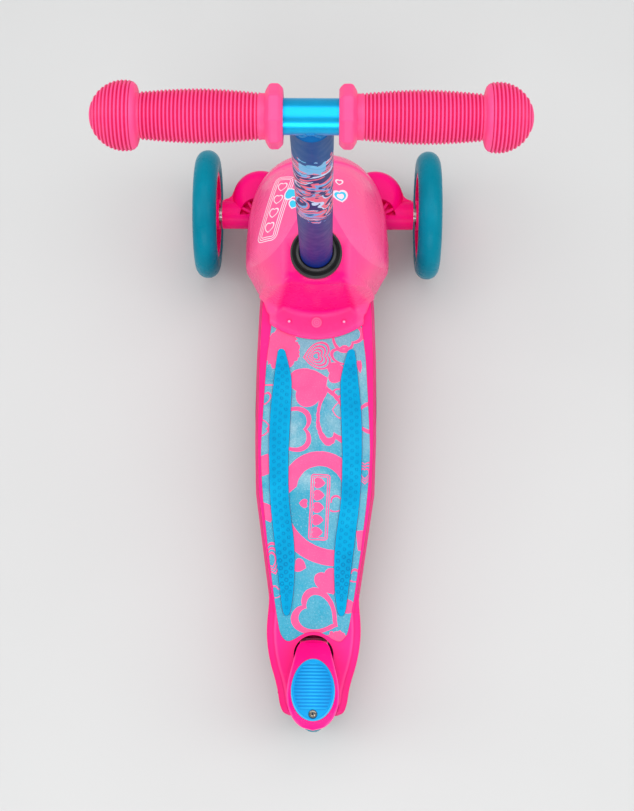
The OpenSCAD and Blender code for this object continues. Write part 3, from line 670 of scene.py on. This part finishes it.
def stem_paint():
    """Metallic blue paint, darker towards the foot and violet there as a painted reflection of the pink cover, with
    a band of brushed stripes.
    """
    m = Nodes("stem_paint")
    lean = atan2(-STEM_AXIS.y, STEM_AXIS.z)
    mp = m.node("ShaderNodeMapping", {"Vector": m.co, "Location": tuple(COLLAR), "Rotation": (lean, 0, 0)},
                vector_type="TEXTURE")
    x, y, s = m.mm(mp.outputs["Vector"])
    fade = m.span(s, 40.0, 330.0, 0.0, 1.0)
    # up the stem: darker at the foot, then a violet stretch that is a painted reflection of the pink cover below,
    # then blue
    base = m.ramp(fade, [(0.0, (0.004, 0.02, 0.20)), (0.22, (0.045, 0.035, 0.20)), (0.55, (0.025, 0.05, 0.22)),
                         (1.0, (0.002, 0.07, 0.25))])
    base = m.mix(m.span(m.noise(700, 3), 0.55, 0.75, 0.0, 0.05), base, (0.10, 0.17, 0.40))
    wave = m.add(s, m.mul(m.abs(x), 0.55))
    warped = m.join(m.mul(x, 0.0022), m.mul(y, 0.0022), m.mul(wave, 0.0042))
    n = m.noise(8.0, 2.0, 0.5, vec=warped, distortion=1.1)
    coral, sky, navy, pale = (0.86, 0.15, 0.24), (0.16, 0.38, 0.74), (0.02, 0.03, 0.15), (0.56, 0.68, 0.92)
    paint = m.ramp(n, [(0.0, navy), (0.35, coral), (0.415, pale), (0.44, navy), (0.485, coral), (0.53, sky),
                       (0.56, navy), (0.60, coral), (0.65, pale), (0.68, navy)], "CONSTANT")
    ragged = m.span(m.noise(160, 2), 0.2, 0.8, -14.0, 14.0)
    edge = m.add(s, ragged)
    band = m.mul(m.above(edge, BAND[0]), m.below(edge, BAND[1]))
    cap = m.mul(m.mul(m.above(edge, BAND[1] - 22), band), m.below(m.abs(x), 9.0))
    col = m.mix(band, base, paint)
    col = m.mix(m.mul(cap, 0.9), col, (0.14, 0.50, 0.80))
    near_bar = m.span(s, BAR_S - 8.5, BAR_S - 7.0, 0.0, 1.0)
    col = m.mix(near_bar, col, (0.0, 0.13, 0.42))
    m.set(Base_Color=col, Metallic=m.span(band, 0.0, 1.0, 0.08, 0.02))
    m.rough(130, 3, 0.34, 0.46)
    m.set(Specular_IOR_Level=0.06)
    m.bump(m.noise(900, 2), 0.12, 0.00002)
    m.bump(band, 0.15, 0.00004)
    return m.mat



# half widths of the fender and of the deck's hips seen from above: (y, x)
FENDER_PLAN = [(-190.6, 2.0), (-192.0, 8.0), (-195.8, 13.0), (-203.5, 15.7), (-215.0, 18.6), (-227.0, 21.4),
               (-238.0, 22.6), (-248.5, 21.6), (-258.5, 17.6), (-265.8, 10.0), (-268.4, 1.0)]
HIP_PLAN = [(-150.0, 39.6), (-160.0, 40.0), (-172.0, 41.0), (-182.0, 41.4), (-192.0, 40.9), (-203.0, 39.4),
            (-213.5, 37.0), (-223.5, 33.9), (-234.0, 31.4), (-244.0, 29.8), (-251.4, 27.0), (-254.6, 21.0)]


def fender_shell():
    """Shell plastic with a painted highlight along the fender's edge and painted shade where it dips under the
    arch.
    """
    m = Nodes("fender_shell")
    x, y, z = m.mm()
    inset = m.sub(m.table(y, FENDER_PLAN), m.abs(x))
    # a painted highlight along the fender's edge
    painted_edge_highlight = m.mul(m.span(inset, 0.6, 1.5, 0.16, 0.0), m.span(y, -203.0, -208.0, 0.0, 1.0))
    col = m.mix(painted_edge_highlight, pink_colour(m), (1.0, 0.30, 0.62))
    # painted shade on the front and the low part that dip under the arch
    front = m.mul(m.span(y, -191.6, -190.4, 0.0, 1.0), m.span(z, 69.2, 70.0, 1.0, 0.0))
    under_arch = m.top(front, m.span(z, 60.5, 63.5, 1.0, 0.0))
    painted_shade = m.mul(under_arch, m.span(m.noise(60, 3), 0.3, 0.7, 0.8, 1.0))
    m.set(Base_Color=m.mix(painted_shade, col, (0.06, 0.001, 0.015)))
    plastic_surface(m, (0.24, 0.36), 0.12, 0.02)
    return m.mat


def deck_plastic():
    """Shell plastic: painted shade on the sloped band outside the rim and on the hips' shoulders, a painted
    highlight along the hips' ridge, a bump that rounds the hips' shoulder, and painted shade in the gap beside the
    fender and in the wheel well.
    """
    m = Nodes("deck_shell")
    x, y, z = m.mm()
    ax = m.abs(x)
    a, b = m.sub(y, 25.0), m.sub(y, 320.0)
    side = m.smaller(m.fma(m.mul(a, a), -1 / 3800, 55.5), m.fma(m.mul(b, b), -1 / 6000, 77.6))
    hips = m.below(y, -166.0)
    rim = m.sub(side, ax)
    hip = m.sub(m.table(y, HIP_PLAN), ax)
    col = pink_colour(m)
    # step and shoulder paint shade on the sloped band outside the rim and on the hips; ridge paints a highlight
    # along the hips' ridge
    step = m.greys(m.mul(rim, 1 / 8), (0.0, 0.28), (0.18, 0.22), (0.36, 0.50), (0.48, 0.0))
    shoulder = m.greys(m.mul(hip, 1 / 10), (0.0, 0.26), (0.40, 0.14), (0.56, 0.36), (0.66, 0.0))
    ridge = m.mul(m.greys(m.mul(hip, 1 / 10), (0.60, 0.0), (0.70, 1.0), (0.90, 0.0)), hips)
    dark = m.add(m.mul(step, m.sub(1.0, hips)), m.mul(shoulder, hips))
    col = m.mix(dark, m.mix(0.03, col, (1.0, 0.5, 0.8)), (0.30, 0.001, 0.05))
    col = m.mix(m.mul(ridge, 0.10), col, (1.0, 0.45, 0.75))
    # painted shade in the gap beside the fender and down the column into the wheel well
    beside = m.sub(ax, m.table(y, FENDER_PLAN))
    gap = m.mul(m.span(beside, -0.2, 1.5, 0.75, 0.0), m.span(y, -204.0, -200.0, 1.0, 0.0))
    column = m.mul(m.span(ax, 17.4, 17.7, 1.0, 0.0), m.span(y, -186.2, -185.9, 1.0, 0.0))
    in_well = m.mul(column, m.span(z, 66.0, 70.4, 1.0, 0.0))
    painted_shade = m.mul(m.top(in_well, gap), m.span(m.noise(60, 3), 0.3, 0.7, 0.8, 1.0))
    m.set(Base_Color=m.mix(painted_shade, col, (0.09, 0.002, 0.02)))
    m.rough(55, 4, 0.34, 0.46)
    m.set(Specular_IOR_Level=0.09)
    m.bump(m.noise(900, 2), 0.2, 0.00002)
    m.bump(m.mul(m.span(hip, 0.0, 6.0, -1.5, 0.0), hips), 0.8, 0.001)
    return m.mat


PINK = pink_shell("pink_shell")
FENDER = fender_shell()
DECK = deck_plastic()
PINK_ARM = pink_shell("pink_arm", 0.08, 0.0)
COVER = cover_plastic()
RUBBER_PINK = grip_rubber()
TYRE = tyre_pu()
MAT = printed_mat()
STRIP = rubber("strip_rubber", (0.0, 0.27, 0.52), (0.0, 0.32, 0.59), (0.004, 0.37, 0.64), spec=0.06)
PAD = pad_rubber()
BAR = metal("bar_metallic", (0.0, 0.47, 0.84), (0.0, 0.40, 0.76), (0.27, 0.35), coat=0.12, metallic=0.8)
LIP_LIGHT = pink_light()
STEM = stem_paint()
WELD = metal("weld_paint", (0.0, 0.26, 0.62), (0.0, 0.18, 0.50), (0.36, 0.5), (6, 6, 6), metallic=0.4)
BLACK = rubber("black_plastic", (0.010, 0.010, 0.011), (0.018, 0.018, 0.019), (0.035, 0.035, 0.035), (0.34, 0.5),
               0.45, 700)
SCREW = metal("screw_steel", (0.36, 0.33, 0.28), (0.15, 0.14, 0.12), (0.18, 0.3), (4, 4, 4))
# a darker copy of the steel, for the brake pin, its spring and the rear nut
DARK_STEEL = metal("steel_darker", (0.10, 0.09, 0.09), (0.05, 0.045, 0.045), (0.4, 0.55), (4, 4, 4))
STUD = rubber("stud_rubber", (0.0, 0.20, 0.43), (0.0, 0.235, 0.49), (0.0, 0.28, 0.56), spec=0.12)
STEEL = metal("steel", (0.62, 0.62, 0.63), (0.48, 0.48, 0.49))
ZINC = metal("zinc_plate", (0.75, 0.75, 0.76), (0.6, 0.6, 0.62), (0.14, 0.28))


# ---- camera, floor, light
# place in mm, turns in degrees, focal length and picture height in pixels
CAM = dict(loc=(12.5, -309.8, 1477.7), tilt=13.258, pan=0.455, roll=0.426, focal=1586.9, height=811)
SENSOR = 36


def make_camera():
    tilt, pan, roll = (radians(CAM[k]) for k in ("tilt", "pan", "roll"))
    ahead = Vector((-sin(pan), sin(tilt) * cos(pan), -cos(tilt) * cos(pan)))
    level = ahead.cross(Vector((0, cos(tilt), sin(tilt)))).normalized()
    drop = ahead.cross(level)
    right = cos(roll) * level - sin(roll) * drop
    down = sin(roll) * level + cos(roll) * drop
    m = Matrix((right, -down, -ahead)).transposed().to_4x4()
    m.translation = Vector(CAM["loc"]) * MM
    cam = bpy.data.cameras.new("camera")
    cam.sensor_width = SENSOR
    cam.sensor_fit = "AUTO"
    cam.lens = CAM["focal"] * SENSOR / CAM["height"]
    cam.clip_start = 0.02
    cam.clip_end = 50
    ob = bpy.data.objects.new("camera", cam)
    coll.objects.link(ob)
    ob.matrix_world = m
    bpy.context.scene.camera = ob


def floor_and_light():
    half = 4000
    corners = [(-half, -half, 0), (half, -half, 0), (half, half, 0), (-half, half, 0)]
    f = new_mesh("floor", corners, [(0, 1, 2, 3)], False)
    m = Nodes("floor_pale")
    m.set(Base_Color=m.ramp(m.noise(3, 2), [(0.3, (0.55, 0.555, 0.555)), (0.7, (0.57, 0.575, 0.575))]),
          Roughness=0.9, Specular_IOR_Level=0.05)
    f.data.materials.append(m.mat)
    w = bpy.data.worlds.new("world")
    bpy.context.scene.world = w
    w.use_nodes = True
    sky = w.node_tree.nodes["Background"].inputs
    sky["Color"].default_value = (1, 1, 1, 1)
    sky["Strength"].default_value = 0.62

    def area(name, loc, at, size, power):
        l = bpy.data.lights.new(name, "AREA")
        l.shape = "RECTANGLE"
        l.size, l.size_y = size
        l.energy = power
        o = bpy.data.objects.new(name, l)
        coll.objects.link(o)
        o.location = loc
        o.rotation_euler = (Vector(at) - Vector(loc)).to_track_quat("-Z", "Y").to_euler()

    area("overhead", (0, 0.35, 2.6), (0, 0, 0), (2.6, 2.6), 34)
    area("left_box", (-1.6, -0.1, 1.5), (0, 0, 0.1), (1.0, 1.6), 11)
    area("right_box", (1.6, -0.1, 1.5), (0, 0, 0.1), (1.0, 1.6), 11)
    area("rear_box", (0, -1.7, 1.0), (0, 0.1, 0.15), (1.6, 0.8), 13)


make_camera()
floor_and_light()


# ---- front cover
BASE, WALL_Y, CROWN_Y, TOP_Z = COVER_LO.z, 104.0, 150.0, 177.0
FRONT_Y = COVER_HI.y
HALF_X, WIDEST_Y = 66.6, 158.0
LIP_FOOT, LIP_TOP, LIP_MID_Y, LIP_HALF = 71.3, 76.3, 155.5, 43.5
WALL_T = 2.6


def crown(y):
    """Share of the dome's height reached at y."""
    if y > CROWN_Y:
        return sqrt(max(0.0, 1 - ((y - CROWN_Y) / (FRONT_Y - CROWN_Y)) ** 2))
    return 1 - 0.123 * (CROWN_Y - y) / (TOP_Z - BASE)


def cover_half(y):
    """Half width of the dome's foot."""
    if y > WIDEST_Y:
        return HALF_X * max(0.0, 1 - ((y - WIDEST_Y) / (FRONT_Y - WIDEST_Y)) ** 3) ** (1 / 2.3)
    return HALF_X - 15 * ((WIDEST_Y - y) / (WIDEST_Y - WALL_Y)) ** 1.5


def cover_at(y, a, t):
    """Point of the dome's section at y, at the angle a round it, inset by t."""
    hw = cover_half(y) - t
    x = -hw * copysign(abs(cos(a)) ** 0.77, cos(a))
    z = BASE + max(1.0, (TOP_Z - BASE) * crown(y) - t) * sin(a)
    w = max(0.0, (CROWN_Y - y) / (CROWN_Y - WALL_Y))
    return x, y + 0.0072 * w * x * x, z


def cover_shape(x, y, z):
    """The recessed panel behind the stem and the step inside the brim."""
    ax = abs(x)
    down = 1 - smoothstep(85, 150, z)
    panel = 1 - smoothstep(22.0 + 8 * down, 31.0 + 5 * down, ax)
    wall = 1 - smoothstep(108, 128, y)
    back = 1 - smoothstep(122, 150, y)
    y2 = y + 4.4 * panel * wall
    z2 = z - (3.0 + 4.0 * (1 - smoothstep(104, 116, y))) * panel * back * smoothstep(120, 165, z)
    rho = (ax / 62.5) ** 3 + (max(0.0, y - 190) / 43) ** 3
    sink = 2.2 * smoothstep(0.0, 0.16, 1 - rho) * smoothstep(150, 200, y) * smoothstep(85, 105, z)
    d = Vector((x * 0.9, y - 165, z - 75))
    if d.length:
        d.normalize()
    return x - d.x * sink, y2 - d.y * sink, z2 - d.z * sink


def cover_block(name, t, under):
    """Closed body of the dome, inset by t, reaching down to the height under."""
    cols, tops, backs, rounds, walls = 84, 64, 14, 10, 22
    r = 5.0 - 0.6 * t
    y1 = WALL_Y + t + r
    front = FRONT_Y - t
    rows = [("wall", i / walls) for i in range(walls + 1)]
    rows += [("round", radians(90 * i / rounds)) for i in range(1, rounds + 1)]
    rows += [("top", y1 + (CROWN_Y - y1) * i / backs) for i in range(1, backs + 1)]
    rows += [("top", CROWN_Y + (front - CROWN_Y) * sin(radians(89 * i / tops))) for i in range(1, tops + 1)]
    verts = []
    for kind, v in rows:
        line = []
        for k in range(cols + 1):
            a = pi * k / cols
            if kind == "top":
                p = cover_at(v, a, t)
            else:
                x, y, z = cover_at(y1, a, t)
                drop = min(r, 0.5 * (z - BASE))
                if kind == "round":
                    p = (x, y - r * cos(v), z - drop * (1 - sin(v)))
                else:
                    # the wall's foot flares into the lip in a fillet of radius rf
                    z_top = z - drop
                    rf = 0.0 if t else 4.0 + 5.0 * smoothstep(31, 42, abs(x)) - 9.0 * smoothstep(45, 50, abs(x))
                    rf = max(0.0, min(rf, z_top - LIP_TOP - 0.5))
                    zz = BASE + (z_top - BASE) * v
                    h = min(rf, max(0.0, LIP_TOP + rf - zz))
                    p = (x, y - r - rf + sqrt(max(0.0, rf * rf - h * h)), zz)
            line.append(cover_shape(*p))
        line = [(line[0][0], line[0][1], under)] + line + [(line[-1][0], line[-1][1], under)]
        if kind == "wall" and v == 0:
            verts.append([(q[0], q[1], under) for q in line])
        verts.append(line)
    m, lines = cols + 3, range(len(verts))
    faces = quads(len(verts), m, 0, False, False)
    faces.append([lines[-1] * m + k for k in range(m)])
    faces.append([i * m for i in lines] + [i * m + m - 1 for i in reversed(lines)])
    ob = new_mesh(name, [q for line in verts for q in line], faces)
    fix_normals(ob, 1e-5, True)
    return ob


def prism(name, outline, z0, z1):
    n = len(outline)
    verts = [(x, y, z0) for x, y in outline] + [(x, y, z1) for x, y in outline]
    faces = [list(range(n))[::-1], list(range(n, 2 * n))]
    faces += [(i, (i + 1) % n, n + (i + 1) % n, n + i) for i in range(n)]
    return new_mesh(name, verts, faces, False)


def lip_outline(r):
    """The rear lip's plan: an arc of radius r, closed inside the dome."""
    xs = [LIP_HALF * (i / 16 - 1) for i in range(33)]
    return [(x, LIP_MID_Y - sqrt(r * r - x * x)) for x in xs] + [(LIP_HALF, 116.0), (-LIP_HALF, 116.0)]


def drum(name, r, s0, s1, seg=64):
    """Cylinder of radius r round the stem, from s0 to s1 along it."""
    ob = prism(name, [(r * cos(2 * pi * i / seg), r * sin(2 * pi * i / seg)) for i in range(seg)], s0, s1)
    ob.data.transform(frame_at(COLLAR, STEM_AXIS))
    return ob


def arm_cutter(name, side):
    """Side opening the axle arm swings in: straight below, a rounded corner above."""
    prof = [(176, 20), (176, 82)]
    prof += [(186 - 10 * cos(radians(a)), 82 + 10 * sin(radians(a))) for a in range(10, 91, 10)]
    prof += [(276, 92), (276, 20)]
    x0, x1 = (33, 95) if side > 0 else (-95, -33)
    n = len(prof)
    verts = [(x0, y, z) for y, z in prof] + [(x1, y, z) for y, z in prof]
    faces = [list(range(n)), list(range(n, 2 * n))[::-1]]
    faces += [(i, n + i, n + (i + 1) % n, (i + 1) % n) for i in range(n)]
    ob = new_mesh(name, verts, faces, False)
    fix_normals(ob, 0)
    return ob


def build_cover():
    """The dome hollowed out, its two-step lip added, and the openings for axle arms and collar cut."""
    skin = cover_block("front_cover_skin", 0.0, BASE)
    cut(skin, cover_block("cavity", WALL_T, BASE - 8))
    cut(skin, prism("rear_cut", [(-54, 70), (54, 70), (54, 170), (-54, 170)], 40, LIP_FOOT))
    join_meshes(skin, [prism("lip_low", lip_outline(72.0), LIP_FOOT, 74.6),
                       prism("lip_high", lip_outline(69.6), 74.0, LIP_TOP)])
    apply_voxel(skin, 1.0)
    for side in (-1, 1):
        cut(skin, arm_cutter("arm_cut", side))
    cut(skin, drum("collar_seat", 22.6, -13.5, 30))
    cut(skin, drum("collar_hole", 19.6, -60, 30))
    apply_voxel(skin, 0.9)
    s = skin.modifiers.new("soften", "SMOOTH")
    s.factor = 0.5
    s.iterations = 6
    apply_mods(skin)
    shade_smooth(skin)
    return skin


finish_piece(build_cover(), "deck", COVER, ("front_cover",))


# ---- grips
def grip_outline():
    """(r, x) round the grip's section, from the bar bore outward and back."""
    bore = 11.4
    pts = [(bore, 18.0), (13.4, 17.2), (14.0, 18.0), (14.0, RIB_FROM - 2.0), (14.4, RIB_FROM - 0.8)]
    steps = 8
    for i in range(RIBS * steps + 1):
        x = RIB_FROM + i * RIB_P / steps
        crest = 14.5 + 2.1 * sin(pi * (x - RIB_FROM) / (RIB_TO - RIB_FROM))
        wave = 0.5 - 0.5 * cos(2 * pi * i / steps)
        pts.append((crest - 1.35 * (1 - wave ** 0.6), x))
    pts += [(13.8, RIB_TO + 0.5), (13.8, 105.0), (14.3, 105.5), (16.6, 105.6), (18.6, 106.3), (20.2, 107.8),
            (20.7, BALL_FROM)]
    for i in range(BALL_N * steps + 1):
        x = BALL_FROM + i * BALL_P / steps
        full = sqrt(max(0.0, BALL_R ** 2 - (x - BALL_X) ** 2))
        wave = 0.5 - 0.5 * cos(2 * pi * i / steps)
        depth = 1.15 * (1 - wave ** 0.6)
        nx, nr = (x - BALL_X) / BALL_R, full / BALL_R
        pts.append((max(0.4, full - depth * nr), x - depth * nx * 0.6))
    for k in range(1, 7):
        x = BALL_TO + (GRIP_HI - BALL_TO) * sin(radians(90 * k / 6))
        pts.append((max(0.02, sqrt(max(0.0, BALL_R ** 2 - (x - BALL_X) ** 2))), x))
    pts += [(0.02, GRIP_HI - 11.0), (bore, GRIP_HI - 12.0)]
    return pts


# the eight-sided stop at the grip's inner end
FLANGE = [(12.6, 17.0), (16.4, 17.0), (17.6, 17.4), (20.1, 19.8), (20.2, 24.6), (19.4, 25.6), (15.2, 28.0),
          (12.6, 28.2)]


def build_grip(side, sign):
    fm = frame_at(BAR_MID, (sign, 0, 0), tuple(STEM_AXIS))
    ob = lathe("grip_body_" + side, grip_outline(), fm, 96)
    flange = lathe("flange_" + side, FLANGE, fm, 8, radians(22.5))
    bevel(flange, 0.9, 25, 3)
    apply_mods(flange)
    join_meshes(ob, [flange])
    finish_piece(ob, "deck", RUBBER_PINK, ("grip_" + side,))


for grip_side, grip_sign in (("left", -1), ("right", 1)):
    build_grip(grip_side, grip_sign)


# ---- tyres
def tyre_outline(r, r_in, half=11.0):
    """Round tread with a fine parting line, stepped shoulders and flat bead."""
    pts = [(r_in, -half + 1.0), (r_in + 2.2, -half + 1.0), (r_in + 3.0, -half + 0.4)]
    c = r - half
    for k in range(49):
        a = -pi / 2 + pi * k / 48
        x, rr = half * sin(a), c + half * cos(a)
        if rr >= r_in + 3.4:
            pts.append((rr - (0.12 if 0.3 < abs(x) < 1.0 else 0.0), x))
    pts += [(r_in + 3.0, half - 0.4), (r_in + 2.2, half - 1.0), (r_in, half - 1.0)]
    return pts


for tag, centre, body, r, r_in in (("left", LEFT_HUB, "wheel_front_left", 60.0, 40.0),
                                   ("right", RIGHT_HUB, "wheel_front_right", 60.0, 40.0),
                                   ("rear", REAR_HUB, "wheel_rear", 40.0, 26.0)):
    ty = lathe("tread_" + tag, tyre_outline(r, r_in), frame_at(centre * MM, (1, 0, 0), (0, 0, 1)), 160)
    finish_piece(ty, body, TYRE, ("tyre_" + tag,))


# ---- weld between stem and bar
def build_weld():
    """Bead along the joint of the stem's saddle with the bar, with the ripple of hand laying."""
    n, k, ripples = 220, 10, 34
    stem_r, bar_r = 14.0, 11.2
    tuck, tuck_front = 0.955, 0.88
    pts = []
    for i in range(n):
        a = 2 * pi * i / n
        rho = 13.0
        for _ in range(12):
            at = BAR_S - sqrt(max(0.0, bar_r ** 2 - (rho * sin(a)) ** 2))
            rho = stem_r - (stem_r - bar_r - 0.3) * min(1.0, max(0.0, (at - BAR_S + 8) / 6.5))
        y = rho * sin(a)
        pts.append(Vector((rho * cos(a) * tuck, y * (tuck if y < 0 else tuck_front), at)))
    verts = []
    for i in range(n):
        t = (pts[(i + 1) % n] - pts[i - 1]).normalized()
        out = Vector((pts[i].x, pts[i].y, 0)).normalized()
        side = t.cross(out).normalized()
        w = 1.5 + 0.14 * sin(2 * pi * i / n * ripples)
        for j in range(k):
            b = 2 * pi * j / k
            verts.append(tuple(pts[i] + out * (cos(b) * w * 0.7) + side * (sin(b) * w * 1.1)))
    ob = new_mesh("weld_bead", verts, quads(n, k))
    fix_normals(ob)
    ob.data.transform(frame_at(COLLAR, STEM_AXIS))
    return ob


finish_piece(build_weld(), "deck", WELD)


# ---- studs on the strips
# the strips' centre line and half width along Y: (x, y)
STRIP_C = [(32.1, 74.6), (31.7, 68), (31.2, 60), (30.5, 43), (32.3, 12), (33.2, -23), (31.8, -65), (27.6, -99),
           (25.6, -122), (24.4, -145), (24.2, -169.2)]
STRIP_W = [(0.8, 74.6), (4.2, 68), (5.8, 60), (8.2, 43), (9.2, 12), (8.8, -23), (8.4, -65), (8.7, -99), (8.0, -122),
           (6.2, -145), (4.4, -160), (0.8, -169.2)]


def along(table, y):
    """Straight line between the table's rows."""
    for (a, y0), (b, y1) in zip(table, table[1:]):
        if y1 <= y <= y0:
            return a + (b - a) * (y0 - y) / (y0 - y1)
    return table[-1][0]


def add_stud(verts, faces, cx, cy, r, w, h):
    """A raised ring of radius r, with a section of half width w and half height h."""
    seg, sec = 18, 6
    faces += quads(seg, sec, len(verts))
    for i in range(seg):
        a = 2 * pi * i / seg
        for j in range(sec):
            b = 2 * pi * j / sec
            rr = r + w * cos(b)
            verts.append((cx + rr * cos(a), cy + rr * sin(a), STRIP_TOP + 0.02 + h * sin(b)))


def build_studs(side, sign):
    """Rings in rows of one and two, larger under the heel."""
    verts, faces = [], []
    narrow = 5.2
    y, i = 66.0, 0
    while y > -166:
        wide = along(STRIP_W, y)
        big = -146 < y < -112
        r, w, h = (1.5, 0.34, 0.36) if big else (1.25, 0.24, 0.26)
        shift = 0.6 if big else 0.52
        for c in (0.0,) if i % 2 == 0 or wide < narrow else (-shift, shift):
            add_stud(verts, faces, sign * (along(STRIP_C, y) + c * wide), y, r, w, h)
        y -= 3.45 if wide >= narrow else 7.2
        i += 1
    ob = new_mesh("strip_studs_" + side, verts, faces)
    fix_normals(ob)
    return ob


for stud_side, stud_sign in (("left", -1), ("right", 1)):
    finish_piece(build_studs(stud_side, stud_sign), "deck", STUD)


# ---- brake pad and its screw
def pad_xy(t, k):
    """Point of the egg-shaped plan at the angle t, at the share k of the way out."""
    return PAD_HALF_X * k * cos(t) * (1 - 0.07 * sin(t) * k), PAD_MID_Y + PAD_HALF_Y * k * sin(t)


def pad_height(x, y, k):
    """Height against PAD_OUT: a rim step round the edge, and rounded ribs that follow the outline's width."""
    rim = 0.55 * smoothstep(0.90, 0.94, k) * (1 - smoothstep(0.975, 1.0, k) * 0.8)
    rib = 0.0
    for i in range(PAD_RIBS):
        yc = PAD_RIB_Y - PAD_RIB_P * i
        half = PAD_HALF_X * sqrt(max(0.0, 1 - ((yc - PAD_MID_Y) / (PAD_HALF_Y * 1.02)) ** 2)) * 0.87
        dx = max(0.0, abs(x) - half + 1.2)
        d = sqrt((y - yc) ** 2 + dx * dx)
        rib = max(rib, 0.7 * (1 - smoothstep(0.25, 1.3, d)))
    return -0.75 + rim + (rib if k < 0.9 else 0.0)


def build_pad():
    rings, seg = 84, 168
    verts = []
    for i in range(rings + 2):
        k = min(1.0, i / rings)
        for j in range(seg):
            x, y = pad_xy(2 * pi * j / seg, k)
            rr = PAD_OUT + pad_height(x, y, k) if i <= rings else PAD_IN
            verts.append((x, y, PAD_AXIS_Z + sqrt(max(1.0, rr * rr - (y - PAD_AXIS_Y) ** 2))))
    under = [(rings + 1) * seg + j for j in reversed(range(seg))]
    ob = new_mesh("pad_ribbed", verts, quads(rings + 2, seg, 0, False) + [under])
    fix_normals(ob)
    sharp(ob, 60)
    return ob


finish_piece(build_pad(), "brake", PAD, ("brake_pad",))


def build_screw():
    """Pan head with a cross recess, seated in the pad."""
    profile = [(0.02, -8.6), (1.55, -8.6), (1.55, -1.6), (3.25, -1.4), (3.4, -1.0), (3.3, -0.45), (2.7, 0.05),
               (1.6, 0.3), (0.02, 0.4)]
    axis = Vector((0, -sin(PAD_SCREW_TURN), cos(PAD_SCREW_TURN)))
    at = Vector((0, PAD_AXIS_Y, PAD_AXIS_Z)) + axis * (PAD_OUT + 0.1)
    fm = frame_at(at * MM, axis)
    ob = lathe("screw_head", profile, fm, 64)
    for turn_z in (20, 110):
        slot = prism("slot", [(-1.9, -0.42), (1.9, -0.42), (1.9, 0.42), (-1.9, 0.42)], -0.9, 1.2)
        slot.data.transform(fm @ Matrix.Rotation(radians(turn_z), 4, "Z"))
        cut(ob, slot)
    shade_smooth(ob)
    sharp(ob, 35)
    return ob


finish_piece(build_screw(), "brake", SCREW, ("brake_screw",))


# ---- steering springs
KINGPIN = LEFT_HUB * 0.5 + RIGHT_HUB * 0.5
KINGPIN_TILT = radians(-40)
# along the kingpin frame's Y: the end at the axle and the end at the deck's wall
SPRING_TOP, SPRING_FOOT, SPRING_R, SPRING_WIRE, SPRING_TURNS = -16.3, -39.8, 6.6, 1.1, 5.5


def build_spring(name, u):
    """A coil with its end turns lying flat, u beside the kingpin."""
    steps, ring, flat, hold = 264, 12, 0.75, 2.4
    tilt = Matrix.Rotation(KINGPIN_TILT, 4, "X")

    def place(x, y, z):
        return KINGPIN + tilt @ Vector((u + x, y, z))

    verts = []
    for i in range(steps + 1):
        turn = SPRING_TURNS * i / steps
        rise = min(1, max(0, (turn - flat) / (SPRING_TURNS - 2 * flat)))
        s = SPRING_TOP - SPRING_WIRE - rise * (SPRING_TOP - SPRING_FOOT - 2 * SPRING_WIRE)
        a = 2 * pi * turn
        for j in range(ring):
            b = 2 * pi * j / ring
            r = SPRING_R + SPRING_WIRE * cos(b)
            verts.append(place(r * cos(a), s - SPRING_WIRE * sin(b), r * sin(a)))
    faces = quads(steps + 1, ring, 0, False)
    faces += [tuple(range(ring)), tuple(steps * ring + j for j in reversed(range(ring)))]
    ob = new_mesh(name, verts, faces)
    fix_normals(ob)
    sharp(ob)
    ob.data.materials.append(STEEL)
    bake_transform(ob)
    return ob


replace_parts(build_spring("steer_spring_left", -28), "spring_left")
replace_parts(build_spring("steer_spring_right", 28), "spring_right")

# ---- CAD nodes that stay
LOOKS = [
    # edge radius in mm, material, nodes
    (0.9, DECK, "deck_shell"),
    (0.7, PINK, "nose_frame"),
    (1.3, PINK_ARM, "truck"),
    (0.25, MAT, "grip_mat"),
    (0.45, STRIP, "strip_left strip_right"),
    (0.25, LIP_LIGHT, "cover_screws"),
    (0.3, LIP_LIGHT, "cover_disc"),
    (0.5, BLACK, "stem_collar"),
    (0.0, STEM, "stem_tube"),
    (0.0, BAR, "handlebar"),
    (0.3, BLACK, "stem_plug bush_upper bush_lower"),
    (0.4, ZINC, "stem_bolt kingpin kingpin_nut front_bolts rear_bolt"),
    (0.3, STEEL, "front_spacers rear_spacers brake_shoe"),
    (0.5, PINK_ARM, "hub_left hub_right hub_rear"),
    (0.15, STEEL, "bearings_left bearings_right bearings_rear"),
    (0.4, DARK_STEEL, "rear_nut"),
    (0.8, FENDER, "brake_fender"),
    (0.2, DARK_STEEL, "brake_pin"),
    (0.0, DARK_STEEL, "brake_spring"),
]
for width, material, nodes in LOOKS:
    for node in nodes.split():
        clean_cad(node, width, material)
